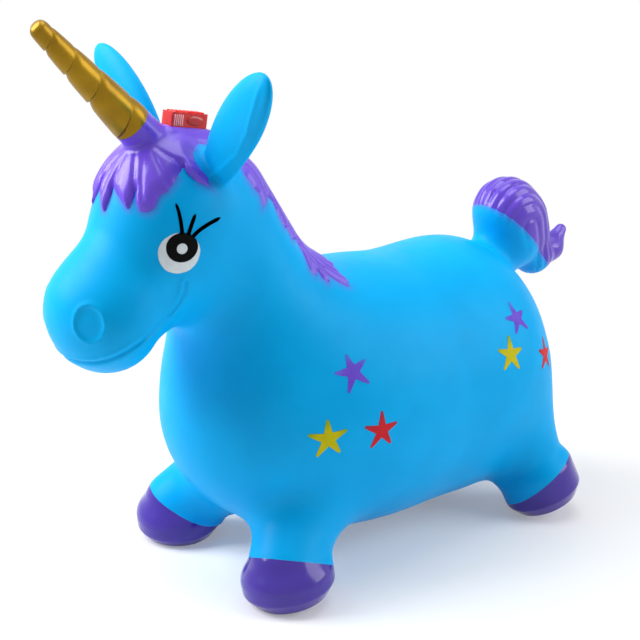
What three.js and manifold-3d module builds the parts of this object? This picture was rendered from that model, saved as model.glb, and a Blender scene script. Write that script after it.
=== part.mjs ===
// Inflatable ride-on unicorn hopper: an air-filled skin of soft vinyl with painted hooves, hair and horn,
// an air valve under the tail and a small light-and-sound module in a pocket on top of the head.
// Millimetres. +Z up, the animal faces -Y and its left side is +X. The floor is z = 0.
import * as THREE from 'three';
import { mergeVertices } from 'three/addons/utils/BufferGeometryUtils.js';
import Module from 'manifold-3d';

const wasm = await Module();
wasm.setup();

// Skin
const wall = 2.8;
const gap = 0.3;
const hairRelief = 4.5;
const maneRelief = 2.7;
const hairSeat = 1;

// Torso: three ellipsoids blended into one barrel
const chestY = -68;
const chestZ = 148.5;
const chestHalfWidth = 108.5;
const chestHalfLength = 127.5;
const chestHalfHeight = 115.5;
const rumpY = 128;
const rumpZ = 144.5;
const rumpHalfWidth = 108.5;
const rumpHalfLength = 83;
const rumpHalfHeight = 121;
const barrelZ = 140.5;
const barrelHalfWidth = 118.5;
const barrelHalfHeight = 125.5;
const barrelOverlap = 54;
const torsoBlend = 53;

// Neck
const neckRootY = -107.5;
const neckRootZ = 219.5;
const neckRootRadius = 69.5;
const neckTopY = -164.5;
const neckTopZ = 337.5;
const neckTopRadius = 53;
const neckBlend = 45;

// Head: cranium, bridge of the nose, muzzle and jaw
const craniumY = -203;
const craniumZ = 334.5;
const craniumHalfWidth = 60;
const craniumHalfLength = 57;
const craniumHalfHeight = 67.5;
const bridgeDrop = 13.5;
const bridgeTopRadius = 39.5;
const bridgeEndRadius = 43.5;
const muzzleY = -264;
const muzzleZ = 265.5;
const muzzleHalfWidth = 50;
const muzzleHalfLength = 34.5;
const muzzleHalfHeight = 44;
const jawY = -216.5;
const jawZ = 281.5;
const jawRadius = 36;
const cheekBack = 9;
const cheekDrop = 31.5;
const cheekRadius = 43;
const bridgeBlend = 36;
const muzzleBlend = 27;
const jawBlend = 22.5;
const headBlend = 27;

// Legs splay out to tilted hooves that stand on the inner front of their soles
const frontHipX = 40.5;
const frontHipY = -79.5;
const frontHipZ = 85;
const frontThighRadius = 41;
const frontAnkleRadius = 33;
const frontHoofX = 84;
const frontHoofY = -138.5;
const frontHoofRadius = 41;
const frontHoofHalfHeight = 17;
const frontHoofLeanX = -0.09;
const frontHoofLeanY = -0.16;
const frontLegReach = 64;
const frontPaintZ = 33;
const frontPaintSlopeX = 0.35;
const frontPaintSlopeY = -0.4;
const rearHipX = 53.5;
const rearHipY = 146;
const rearHipZ = 140;
const rearThighRadius = 38.5;
const rearAnkleRadius = 31;
const rearHoofX = 89;
const rearHoofY = 174;
const rearHoofRadius = 38.5;
const rearHoofHalfHeight = 24;
const rearHoofLeanX = -0.27;
const rearHoofLeanY = -0.35;
const rearLegReach = 68;
const rearPaintZ = 36;
const rearPaintSlopeX = 0.65;
const rearPaintSlopeY = 0.63;
const ankleRise = 11;
const hoofRound = 13.5;
const hoofBlend = 9;
const legBlend = 27;
const soleFlat = 1.6;

// Ears: flat leaves, gripped as handles
const earBaseX = 37;
const earBaseY = -182;
const earBaseZ = 378.5;
const earTipX = 122.5;
const earTipY = -190;
const earTipZ = 461;
const earHalfWidth = 24;
const earHalfThickness = 10;
const earBlend = 7;
const earPivotRise = 8;
const earRootRadius = 21.5;

// Horn: a blunt cone with a helical step, on a purple collar
const hornBaseY = -235.5;
const hornBaseZ = 417.5;
const hornTilt = 45;
const hornLength = 115;
const hornBaseRadius = 16;
const hornTipRadius = 7.5;
const hornPitch = 31;
const hornStep = 1.3;
const hornPivotDepth = 13;
const collarDepth = 40;
const collarFlare = 1;
const collarBlend = 8;

// Tail: a stump that arches back, hangs and flicks up at its tip
const tailRootY = 206;
const tailRootZ = 258;
const tailRootRadius = 33.5;
const tailCrownY = 203;
const tailCrownZ = 285;
const tailCrownRadius = 31.5;
const tailArchY = 219.5;
const tailArchZ = 275;
const tailArchRadius = 24;
const tailFallY = 229.5;
const tailFallZ = 257.5;
const tailFallRadius = 20;
const tailLobeY = 242.5;
const tailLobeZ = 234.5;
const tailLobeRadius = 18;
const tailFlickY = 269.5;
const tailFlickZ = 237;
const tailFlickRadius = 10.5;
const tailTipY = 282;
const tailTipZ = 249.5;
const tailTipRadius = 8.5;
const tailBlend = 12;
const tailRootBlend = 22.5;
const tailPivotY = 192;
const tailPivotZ = 233;
const tailRootReach = 44;
const tailFreeRise = 5;
const tailFreeTilt = -55;
const tailPaintY = 171.5;
const tailPaintZ = 298;
const tailPaintTilt = -45;

// Seams between the skin's regions, each a plane through a point of the mid-plane, by its tilt from upright
const neckSeamY = -118;
const neckSeamZ = 243;
const neckSeamTilt = 24;
const headSeamY = -150;
const headSeamZ = 329;
const headSeamTilt = 62.5;

// Forelock: locks of hair on the forehead, each [x, distance down] on a plane square to its mean normal
const forelockTilt = 35;
const forelockY = -200;
const forelockZ = 400;
const forelockBack = 32;
const forelockBackHalfWidth = 21;
const forelockEarHalfWidth = 31;
const forelockDepth = 38;
const forelockRise = 70;
const middleLockTip = [7, 82];
const middleLockNotch = [12, 63];
const browLockTip = [29, 72];
const browLockNotch = [31, 58];
const templeLockTip = [42, 66];
const templeLockNotch = [46, 42];
const sideLockNotch = [44, 19];
const sideLockTip = [52, 17];

// Mane: locks that fall to both sides of the nape, drawn on a plane square to the nape
const maneTilt = -56.5;
const maneY = -150;
const maneZ = 390;
const maneTop = 6;
const maneTopHalfWidth = 19;
const maneHalfWidth = 52;
const maneNotch = 13;
const maneLockPitch = 27;
const maneLockCount = 4;
const maneLockDroop = 12;
const maneEndHalfWidth = 16;
const maneDepth = 44;

// Air valve under the tail
const valveTilt = -24;
const valveSeatRadius = 13;
const valveLipRadius = 16;
const valveLip = 2;
const valveSeatDepth = 11;
const valveBoreRadius = 4.5;
const plugClearance = 0.2;
const plugHeadRadius = 7.5;
const plugHeadThickness = 3;
const plugStemLength = 15;
const plugTipRadius = 3;

// Light-and-sound module on top of the head
const moduleY = -183.5;
const coverLength = 35;
const coverWidth = 16;
const coverHeight = 12;
const coverWall = 1.2;
const coverCorner = 2;
const coverRibCount = 8;
const coverRibWidth = 1.2;
const coverRibHeight = 1;
const flangeMargin = 1.5;
const flangeThickness = 1.4;
const trayInset = 1;
const trayDepth = 11;
const trayWall = 1.6;
const trayFloor = 1.6;
const pocketClearance = 0.5;
const pocketWall = 1.5;
const boardThickness = 1.2;
const boardLedge = 0.8;
const postRadius = 1.8;
const postClearance = 0.3;
const screwRadius = 0.8;
const screwHeadRadius = 1.5;
const screwHeadHeight = 0.8;
const screwGrip = 5;
const cellRadius = 3.95;
const cellHeight = 3.6;
const cellCount = 3;
const contactThickness = 0.4;
const contactWidth = 6;
const contactHeight = 7.5;
const speakerRadius = 5.5;
const speakerHeight = 4;
const speakerY = 4.5;
const ledRadius = 1.5;
const ledHeight = 4;
const ledSpacing = 8;
const ledY = -9;
const springRadius = 1.9;
const springWire = 0.5;
const springPitch = 1.1;
const springCurls = 6;
const springY = -4.5;
const springPinRadius = 0.45;
const springPinRise = 1;

// Facets: the cells of each stretch of skin
const torsoCell = 34;
const neckCell = 21;
const headCell = 18;
const legCell = 16;
const earCell = 9.2;
const tailCell = 13.5;
const hairCell = 15;
const roundSegments = 16;
const seamSegments = 16;
const jointSegments = 32;
const hornRings = 18;
const hornSides = 14;

const colours = {
  blue: 0x1eb5f2,
  purple: 0x5a3cc0,
  gold: 0xb48c1e,
  red: 0xe0282a,
  pale: 0xe6e2da,
  white: 0xf0f0ee,
  green: 0x2c6e46,
  steel: 0xb8bcc0,
  dark: 0x2a2a2c,
};

function finish(colour, roughness, metalness = 0) {
  return new THREE.MeshStandardMaterial({ color: colours[colour], roughness, metalness });
}

const vinyl = finish('blue', 0.42);
const hairPaint = finish('purple', 0.25);
const goldPaint = finish('gold', 0.35, 0.6);
const redPlastic = finish('red', 0.2);
const palePlastic = finish('pale', 0.4);
const whitePlastic = finish('white', 0.4);
const boardGreen = finish('green', 0.5);
const steel = finish('steel', 0.3, 0.9);
const darkPlastic = finish('dark', 0.5);

const hopper = new THREE.Group();

// Distances to simple rounded bodies, each a function of a point
function ellipsoid(centre, half) {
  return (x, y, z) => {
    const a = (x - centre[0]) / half[0];
    const b = (y - centre[1]) / half[1];
    const c = (z - centre[2]) / half[2];
    const reach = Math.hypot(a, b, c);
    const slope = Math.hypot(a / half[0], b / half[1], c / half[2]);
    return reach * (reach - 1) / Math.max(slope, 1e-9);
  };
}

function roundCone(start, end, startRadius, endRadius) {
  const axis = end.map((value, i) => value - start[i]);
  const length2 = axis[0] ** 2 + axis[1] ** 2 + axis[2] ** 2;
  const taper = startRadius - endRadius;
  const side2 = length2 - taper * taper;
  return (x, y, z) => {
    const px = x - start[0];
    const py = y - start[1];
    const pz = z - start[2];
    const along = px * axis[0] + py * axis[1] + pz * axis[2];
    const beyond = along - length2;
    const off2 = (px * length2 - axis[0] * along) ** 2
      + (py * length2 - axis[1] * along) ** 2
      + (pz * length2 - axis[2] * along) ** 2;
    const limit = Math.sign(taper) * taper * taper * off2;
    if (Math.sign(beyond) * side2 * beyond * beyond * length2 > limit) {
      return Math.sqrt(off2 + beyond * beyond * length2) / length2 - endRadius;
    }
    if (Math.sign(along) * side2 * along * along * length2 < limit) {
      return Math.sqrt(off2 + along * along * length2) / length2 - startRadius;
    }
    return (Math.sqrt(off2 * side2 / length2) + along * taper) / length2 - startRadius;
  };
}

function smoothMin(a, b, blend) {
  const share = Math.max(blend - Math.abs(a - b), 0) / blend;
  return Math.min(a, b) - share * share * blend * 0.25;
}

// The animal's form
const chest = ellipsoid([0, chestY, chestZ], [chestHalfWidth, chestHalfLength, chestHalfHeight]);
const rump = ellipsoid([0, rumpY, rumpZ], [rumpHalfWidth, rumpHalfLength, rumpHalfHeight]);
const barrelHalfLength = (rumpY - chestY) / 2 + barrelOverlap;
const barrel = ellipsoid(
  [0, (chestY + rumpY) / 2, barrelZ],
  [barrelHalfWidth, barrelHalfLength, barrelHalfHeight],
);
const neckCone = roundCone(
  [0, neckRootY, neckRootZ], [0, neckTopY, neckTopZ], neckRootRadius, neckTopRadius,
);
const cranium = ellipsoid([0, craniumY, craniumZ], [craniumHalfWidth, craniumHalfLength, craniumHalfHeight]);
const muzzle = ellipsoid([0, muzzleY, muzzleZ], [muzzleHalfWidth, muzzleHalfLength, muzzleHalfHeight]);
const bridge = roundCone(
  [0, craniumY, craniumZ - bridgeDrop], [0, muzzleY, muzzleZ], bridgeTopRadius, bridgeEndRadius,
);
const jaw = roundCone(
  [0, jawY, jawZ], [0, craniumY + cheekBack, craniumZ - cheekDrop], jawRadius, cheekRadius,
);

function torsoForm(x, y, z) {
  return smoothMin(smoothMin(chest(x, y, z), barrel(x, y, z), torsoBlend), rump(x, y, z), torsoBlend);
}

function headForm(x, y, z) {
  const crown = smoothMin(cranium(x, y, z), bridge(x, y, z), bridgeBlend);
  return smoothMin(smoothMin(crown, muzzle(x, y, z), muzzleBlend), jaw(x, y, z), jawBlend);
}

// A leg and its tilted hoof; the hoof's centre sits so that the floor cuts a flat as deep as soleFlat
function makeLeg(size) {
  const lean = Math.hypot(size.leanX, size.leanY);
  const stretch = Math.hypot(lean, 1);
  const sink = (size.hoofHalfHeight - hoofRound + (size.hoofRadius - hoofRound) * lean) / stretch;
  const centre = [size.hoofX, size.hoofY, hoofRound + sink - soleFlat];
  const up = [size.leanX / stretch, size.leanY / stretch, 1 / stretch];
  const ankle = centre.map((value, i) => value + up[i] * ankleRise);
  const shank = roundCone(size.hip, ankle, size.thighRadius, size.ankleRadius);
  const form = (x, y, z) => {
    const dx = x - centre[0];
    const dy = y - centre[1];
    const dz = z - centre[2];
    const rise = dx * up[0] + dy * up[1] + dz * up[2];
    const spread = Math.sqrt(Math.max(dx * dx + dy * dy + dz * dz - rise * rise, 0));
    const over = spread - (size.hoofRadius - hoofRound);
    const above = Math.abs(rise) - (size.hoofHalfHeight - hoofRound);
    const hoof = Math.hypot(Math.max(over, 0), Math.max(above, 0))
      + Math.min(Math.max(over, above), 0) - hoofRound;
    return smoothMin(shank(x, y, z), hoof, hoofBlend);
  };
  return { ...size, centre, form };
}

const frontLeg = makeLeg({
  hip: [frontHipX, frontHipY, frontHipZ],
  thighRadius: frontThighRadius,
  ankleRadius: frontAnkleRadius,
  hoofX: frontHoofX,
  hoofY: frontHoofY,
  hoofRadius: frontHoofRadius,
  hoofHalfHeight: frontHoofHalfHeight,
  leanX: frontHoofLeanX,
  leanY: frontHoofLeanY,
  reach: frontLegReach,
  paintZ: frontPaintZ,
  paintNormal: [-frontPaintSlopeX, -frontPaintSlopeY, 1],
});
const rearLeg = makeLeg({
  hip: [rearHipX, rearHipY, rearHipZ],
  thighRadius: rearThighRadius,
  ankleRadius: rearAnkleRadius,
  hoofX: rearHoofX,
  hoofY: rearHoofY,
  hoofRadius: rearHoofRadius,
  hoofHalfHeight: rearHoofHalfHeight,
  leanX: rearHoofLeanX,
  leanY: rearHoofLeanY,
  reach: rearLegReach,
  paintZ: rearPaintZ,
  paintNormal: [-rearPaintSlopeX, -rearPaintSlopeY, 1],
});

// Ear frame: along the ear, forward through its thickness, and across its width
const earBase = new THREE.Vector3(earBaseX, earBaseY, earBaseZ);
const earTip = new THREE.Vector3(earTipX, earTipY, earTipZ);
const earAxis = earTip.clone().sub(earBase).normalize();
const earLength = earBase.distanceTo(earTip);
const earForward = new THREE.Vector3(0, -1, 0);
earForward.addScaledVector(earAxis, -earForward.dot(earAxis)).normalize();
const earSide = new THREE.Vector3().crossVectors(earAxis, earForward);
const earMiddle = earBase.clone().lerp(earTip, 0.5);
const earLeaf = ellipsoid([0, 0, 0], [earHalfWidth, earHalfThickness, earLength / 2]);

function earForm(x, y, z) {
  const dx = x - earMiddle.x;
  const dy = y - earMiddle.y;
  const dz = z - earMiddle.z;
  return earLeaf(
    dx * earSide.x + dy * earSide.y + dz * earSide.z,
    dx * earForward.x + dy * earForward.y + dz * earForward.z,
    dx * earAxis.x + dy * earAxis.y + dz * earAxis.z,
  );
}

// Horn frame: its axis leans forward from upright by hornTilt
const hornAxis = new THREE.Vector3(0, -Math.sin(rad(hornTilt)), Math.cos(rad(hornTilt)));
const hornBase = new THREE.Vector3(0, hornBaseY, hornBaseZ);
const collarFoot = hornBase.clone().addScaledVector(hornAxis, -collarDepth);
const collarHead = hornBase.clone().addScaledVector(hornAxis, hornPivotDepth);
const collar = roundCone(
  collarFoot.toArray(), collarHead.toArray(), hornBaseRadius + collarFlare, hornBaseRadius,
);

const tailPath = [
  [tailRootY, tailRootZ, tailRootRadius],
  [tailCrownY, tailCrownZ, tailCrownRadius],
  [tailArchY, tailArchZ, tailArchRadius],
  [tailFallY, tailFallZ, tailFallRadius],
  [tailLobeY, tailLobeZ, tailLobeRadius],
  [tailFlickY, tailFlickZ, tailFlickRadius],
  [tailTipY, tailTipZ, tailTipRadius],
];
const tailLinks = tailPath.slice(1).map(([y, z, radius], i) => {
  const [fromY, fromZ, fromRadius] = tailPath[i];
  return roundCone([0, fromY, fromZ], [0, y, z], fromRadius, radius);
});

function tailForm(x, y, z) {
  return tailLinks
    .map((link) => link(x, y, z))
    .reduce((sum, distance) => smoothMin(sum, distance, tailBlend));
}

// The animal, mirrored about x = 0: first without its ears, tail and horn, then resting on the floor,
// then with its ears and tail
function roundTrunk(x, y, z) {
  const side = Math.abs(x);
  let distance = smoothMin(torsoForm(side, y, z), neckCone(side, y, z), neckBlend);
  distance = smoothMin(distance, headForm(side, y, z), headBlend);
  const legs = Math.min(frontLeg.form(side, y, z), rearLeg.form(side, y, z));
  return smoothMin(distance, legs, legBlend);
}

function trunk(x, y, z) {
  return Math.max(roundTrunk(x, y, z), -z);
}

function animal(x, y, z) {
  const eared = smoothMin(trunk(x, y, z), earForm(Math.abs(x), y, z), earBlend);
  return smoothMin(eared, tailForm(x, y, z), tailRootBlend);
}

// The hair stands proud of the skin, the forelock rises into the horn's collar, and both replace the skin
function forelockForm(x, y, z) {
  return smoothMin(trunk(x, y, z) - hairRelief, collar(x, y, z), collarBlend);
}

function maneForm(x, y, z) {
  return trunk(x, y, z) - maneRelief;
}

function rad(degrees) {
  return degrees * Math.PI / 180;
}

function gradient(form, point) {
  const step = 0.05;
  const [x, y, z] = point;
  return new THREE.Vector3(
    form(x + step, y, z) - form(x - step, y, z),
    form(x, y + step, z) - form(x, y - step, z),
    form(x, y, z + step) - form(x, y, z - step),
  ).normalize();
}

// The point where a ray from outside first meets a form
function meet(form, start, direction) {
  const point = start.clone();
  const tolerance = 1e-4;
  const most = 400;
  for (let i = 0; i < most; i += 1) {
    const distance = form(point.x, point.y, point.z);
    if (distance < tolerance) {
      break;
    }
    point.addScaledVector(direction, distance * 0.7);
  }
  return point;
}

// Closed surface of a form inside a box of cells, one vertex in each cell that the surface crosses.
// Each vertex lies at the given depth below the form.
function surface(form, low, counts, size, depth) {
  const [nx, ny, nz] = counts.map((count) => count + 3);
  const high = low.map((value, axis) => value + counts[axis] * size[axis]);
  const place = (n, axis) => low[axis] + (n - 1) * size[axis];
  const index = (i, j, k) => (k * ny + j) * nx + i;
  const values = new Float64Array(nx * ny * nz);
  for (let k = 0; k < nz; k += 1) {
    for (let j = 0; j < ny; j += 1) {
      for (let i = 0; i < nx; i += 1) {
        const [x, y, z] = [place(i, 0), place(j, 1), place(k, 2)];
        const beyond = Math.max(low[0] - x, x - high[0], low[1] - y, y - high[1], low[2] - z, z - high[2]);
        values[index(i, j, k)] = Math.max(form(x, y, z), beyond + size[0] * 0.01);
      }
    }
  }
  fillDiagonals(values, [nx, ny, nz], index);
  const vertices = [];
  const vertexOf = new Map();
  const corners = [0, 1, 2, 3, 4, 5, 6, 7].map((n) => [n & 1, (n >> 1) & 1, n >> 2]);
  const edges = [
    [0, 1], [2, 3], [4, 5], [6, 7],
    [0, 2], [1, 3], [4, 6], [5, 7],
    [0, 4], [1, 5], [2, 6], [3, 7],
  ];
  for (let k = 0; k < nz - 1; k += 1) {
    for (let j = 0; j < ny - 1; j += 1) {
      for (let i = 0; i < nx - 1; i += 1) {
        const at = corners.map(([a, b, c]) => values[index(i + a, j + b, k + c)]);
        const middle = [0, 0, 0];
        let crossings = 0;
        for (const [p, q] of edges) {
          if ((at[p] < 0) !== (at[q] < 0)) {
            const share = at[p] / (at[p] - at[q]);
            const spot = corners[p].map((value, axis) => value + share * (corners[q][axis] - value));
            spot.forEach((value, axis) => {
              middle[axis] += value;
            });
            crossings += 1;
          }
        }
        if (crossings > 0) {
          const start = [i, j, k].map((n, axis) => place(n, axis));
          const point = middle.map((sum, axis) => start[axis] + (sum / crossings) * size[axis]);
          vertexOf.set(index(i, j, k), vertices.length / 3);
          vertices.push(...settle(form, point, start, size, depth));
        }
      }
    }
  }
  const triangles = [];
  const apart = (p, q) => Math.hypot(...[0, 1, 2].map((n) => vertices[p * 3 + n] - vertices[q * 3 + n]));
  const quad = (keys, flip) => {
    const [a, b, c, d] = (flip ? keys.reverse() : keys).map((key) => vertexOf.get(key));
    if (apart(a, c) <= apart(b, d)) {
      triangles.push(a, b, c, a, c, d);
    } else {
      triangles.push(b, c, d, b, d, a);
    }
  };
  for (let k = 1; k < nz - 1; k += 1) {
    for (let j = 1; j < ny - 1; j += 1) {
      for (let i = 1; i < nx - 1; i += 1) {
        const here = values[index(i, j, k)] < 0;
        if (here !== values[index(i + 1, j, k)] < 0) {
          quad([index(i, j - 1, k - 1), index(i, j, k - 1), index(i, j, k), index(i, j - 1, k)], !here);
        }
        if (here !== values[index(i, j + 1, k)] < 0) {
          quad([index(i - 1, j, k - 1), index(i - 1, j, k), index(i, j, k), index(i, j, k - 1)], !here);
        }
        if (here !== values[index(i, j, k + 1)] < 0) {
          quad([index(i - 1, j - 1, k), index(i, j - 1, k), index(i, j, k), index(i - 1, j, k)], !here);
        }
      }
    }
  }
  return solidFrom(vertices, triangles);
}

// Where inside and outside meet crosswise on a face of the grid, the nearer outside corner is filled
function fillDiagonals(values, counts, index) {
  const steps = [[1, 0, 0], [0, 1, 0], [0, 0, 1]];
  const fill = -1e-3;
  let changed = true;
  while (changed) {
    changed = false;
    for (let k = 0; k < counts[2] - 1; k += 1) {
      for (let j = 0; j < counts[1] - 1; j += 1) {
        for (let i = 0; i < counts[0] - 1; i += 1) {
          for (let normal = 0; normal < 3; normal += 1) {
            const u = steps[(normal + 1) % 3];
            const v = steps[(normal + 2) % 3];
            const ring = [
              index(i, j, k),
              index(i + u[0], j + u[1], k + u[2]),
              index(i + u[0] + v[0], j + u[1] + v[1], k + u[2] + v[2]),
              index(i + v[0], j + v[1], k + v[2]),
            ];
            const inside = ring.map((n) => values[n] < 0);
            if (inside[0] === inside[2] && inside[1] === inside[3] && inside[0] !== inside[1]) {
              const outer = inside[0] ? [ring[1], ring[3]] : [ring[0], ring[2]];
              const nearer = values[outer[0]] < values[outer[1]] ? outer[0] : outer[1];
              values[nearer] = fill;
              changed = true;
            }
          }
        }
      }
    }
  }
}

// Moves a vertex along the slope onto the form, unless it would leave its cell, and then down by the depth
function settle(form, point, start, size, depth) {
  const spot = new THREE.Vector3(...point);
  for (let i = 0; i < 4; i += 1) {
    const distance = form(spot.x, spot.y, spot.z);
    spot.addScaledVector(gradient(form, spot.toArray()), -distance);
  }
  const margin = 0.03;
  const inside = spot.toArray().every((value, axis) => {
    const share = (value - start[axis]) / size[axis];
    return share > margin && share < 1 - margin;
  });
  const top = inside ? spot : new THREE.Vector3(...point);
  return top.addScaledVector(gradient(form, top.toArray()), -depth).toArray();
}

function solidFrom(vertices, triangles) {
  return new wasm.Manifold(new wasm.Mesh({
    numProp: 3,
    vertProperties: new Float32Array(vertices),
    triVerts: new Uint32Array(triangles),
  }));
}

// A solid from a three.js geometry, with shared vertices and without flat triangles
function solidOf(geometry, matrix = new THREE.Matrix4()) {
  const bare = geometry.clone().applyMatrix4(matrix);
  bare.deleteAttribute('normal');
  bare.deleteAttribute('uv');
  const merged = mergeVertices(bare, 1e-4);
  const triangles = [];
  for (let i = 0; i < merged.index.count; i += 3) {
    const [a, b, c] = [0, 1, 2].map((n) => merged.index.getX(i + n));
    if (a !== b && b !== c && a !== c) {
      triangles.push(a, b, c);
    }
  }
  return solidFrom(merged.attributes.position.array, triangles);
}

function geometryOf(solid) {
  const mesh = solid.getMesh();
  const geometry = new THREE.BufferGeometry();
  geometry.setAttribute('position', new THREE.BufferAttribute(new Float32Array(mesh.vertProperties), 3));
  geometry.setIndex(new THREE.BufferAttribute(new Uint32Array(mesh.triVerts), 1));
  return geometry;
}

function mirrored(geometry) {
  const other = geometry.clone();
  const position = other.attributes.position;
  for (let i = 0; i < position.count; i += 1) {
    position.setX(i, -position.getX(i));
  }
  const index = other.index;
  for (let i = 0; i < index.count; i += 3) {
    const first = index.getX(i);
    index.setX(i, index.getX(i + 1));
    index.setX(i + 1, first);
  }
  return other;
}

function addPiece(parent, name, geometry, material) {
  geometry.computeVertexNormals();
  const mesh = new THREE.Mesh(geometry, material);
  mesh.name = name;
  parent.add(mesh);
  return mesh;
}

function addPair(name, geometry, material) {
  addPiece(hopper, `${name}_left`, geometry, material);
  addPiece(hopper, `${name}_right`, mirrored(geometry), material);
}

// Cutting bodies
const farSize = 1400;

function halfSpace(point, normal, offset = 0) {
  const facing = normal.clone().normalize();
  const turn = new THREE.Quaternion().setFromUnitVectors(new THREE.Vector3(0, 0, 1), facing);
  const centre = point.clone().addScaledVector(facing, offset + farSize / 2);
  const matrix = new THREE.Matrix4().compose(centre, turn, new THREE.Vector3(1, 1, 1));
  return solidOf(new THREE.BoxGeometry(farSize, farSize, farSize), matrix);
}

function ball(centre, radius, segments, pole = new THREE.Vector3(0, 1, 0)) {
  const turn = new THREE.Quaternion().setFromUnitVectors(new THREE.Vector3(0, 1, 0), pole);
  const matrix = new THREE.Matrix4().compose(centre, turn, new THREE.Vector3(1, 1, 1));
  return solidOf(new THREE.SphereGeometry(radius, segments, segments / 2), matrix);
}

function midNormal(tilt) {
  return new THREE.Vector3(0, -Math.sin(rad(tilt)), Math.cos(rad(tilt)));
}

// An outline of [x, distance along] points, moved out by a clearance and pushed along the plane's normal
function prism(outline, clearance, origin, along, out, from, to) {
  const across = new THREE.Vector3().crossVectors(along, out);
  const points = outline.map(([x, v]) => new THREE.Vector2(x * across.x, v));
  const ring = THREE.ShapeUtils.isClockWise(points) ? points.reverse() : points;
  const moved = ring.map((point, i) => {
    const before = ring[(i + ring.length - 1) % ring.length];
    const after = ring[(i + 1) % ring.length];
    const first = new THREE.Vector2(point.y - before.y, before.x - point.x).normalize();
    const second = new THREE.Vector2(after.y - point.y, point.x - after.x).normalize();
    const bisector = first.add(second);
    return point.clone().addScaledVector(bisector, 2 * clearance / bisector.lengthSq());
  });
  const depth = to - from;
  const geometry = new THREE.ExtrudeGeometry(new THREE.Shape(moved), { depth, bevelEnabled: false });
  const start = origin.clone().addScaledVector(out, from);
  return solidOf(geometry, new THREE.Matrix4().makeBasis(across, along, out).setPosition(start));
}

function bothSides(left) {
  return [...left, ...left.map(([x, v]) => [-x, v]).reverse()];
}

// Cuts that several pieces share
const xAxis = new THREE.Vector3(1, 0, 0);
const zAxis = new THREE.Vector3(0, 0, 1);
const neckSeam = new THREE.Vector3(0, neckSeamY, neckSeamZ);
const neckNormal = midNormal(neckSeamTilt);
const headSeam = new THREE.Vector3(0, headSeamY, headSeamZ);
const headNormal = midNormal(headSeamTilt);
const half = gap / 2;

const earPivot = earBase.clone().addScaledVector(earAxis, earPivotRise);
function mirrorX(vector) {
  return new THREE.Vector3(-vector.x, vector.y, vector.z);
}

// An ear flexes about the middle of its root: it takes the round of skin there with it
function earZone(side, clearance) {
  const flip = (vector) => (side > 0 ? vector : mirrorX(vector));
  const root = ball(flip(earPivot), earRootRadius + clearance, jointSegments);
  const reach = ball(flip(earMiddle), earLength * 0.62, seamSegments);
  return halfSpace(flip(earPivot), flip(earAxis)).intersect(reach).add(root);
}

// A leg's zone is a ball about its hoof
function legZone(leg, side, clearance) {
  const centre = new THREE.Vector3(side * leg.centre[0], leg.centre[1], leg.centre[2]);
  return ball(centre, leg.reach + clearance, seamSegments);
}

// The tail flexes in the same way
const tailPivot = new THREE.Vector3(0, tailPivotY, tailPivotZ);
function tailZone(clearance) {
  const root = ball(tailPivot, tailRootReach + clearance, jointSegments, xAxis);
  return halfSpace(tailPivot, midNormal(tailFreeTilt), tailFreeRise).add(root);
}

const hornPivot = hornBase.clone().addScaledVector(hornAxis, -hornPivotDepth);
const hornRimRadius = Math.hypot(hornPivotDepth, hornBaseRadius);

const forelockOut = midNormal(forelockTilt);
const forelockDown = new THREE.Vector3().crossVectors(xAxis, forelockOut);
const forelockOrigin = new THREE.Vector3(0, forelockY, forelockZ);
function forelockPrism(clearance) {
  const left = [
    middleLockNotch, browLockTip, browLockNotch, templeLockTip, templeLockNotch, sideLockNotch, sideLockTip,
    [forelockEarHalfWidth, 0],
    [forelockBackHalfWidth, -forelockBack],
  ];
  const outline = [middleLockTip, ...bothSides(left)];
  return prism(outline, clearance, forelockOrigin, forelockDown, forelockOut, -forelockDepth, forelockRise);
}

const maneOut = midNormal(maneTilt);
const maneDown = new THREE.Vector3().crossVectors(maneOut, xAxis);
const maneOrigin = new THREE.Vector3(0, maneY, maneZ);
function manePrism(clearance) {
  const left = [[maneTopHalfWidth, maneTop]];
  for (let i = 1; i <= maneLockCount; i += 1) {
    const notchAt = maneTop + i * maneLockPitch;
    left.push([maneHalfWidth, notchAt + maneLockDroop]);
    left.push([maneHalfWidth - maneNotch, notchAt]);
  }
  left.push([maneEndHalfWidth, maneTop + (maneLockCount + 1) * maneLockPitch]);
  return prism(bothSides(left), clearance, maneOrigin, maneDown, maneOut, -maneDepth, maneDepth);
}

// Module frame: on the crest of the hair, tipped back along it
function crest(y) {
  const start = new THREE.Vector3(0, y, craniumZ + 2 * craniumHalfHeight);
  return meet((px, py, pz) => trunk(px, py, pz) - hairRelief, start, new THREE.Vector3(0, 0, -1));
}
const crestFront = crest(moduleY - coverLength / 2);
const crestRear = crest(moduleY + coverLength / 2);
const moduleTilt = Math.atan2(crestRear.z - crestFront.z, crestRear.y - crestFront.y);
const moduleFrame = new THREE.Group();
moduleFrame.position.copy(crest(moduleY));
moduleFrame.rotation.x = moduleTilt;
moduleFrame.updateMatrixWorld();
const trayLength = coverLength - 2 * trayInset;
const trayWidth = coverWidth - 2 * trayInset;
const pocketLength = trayLength + 2 * (pocketClearance + pocketWall);
const pocketWidth = trayWidth + 2 * (pocketClearance + pocketWall);
const pocketDepth = trayDepth + pocketClearance + pocketWall;
const flangeWidth = coverWidth + 2 * flangeMargin;
const flangeLength = coverLength + 2 * flangeMargin;

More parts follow.
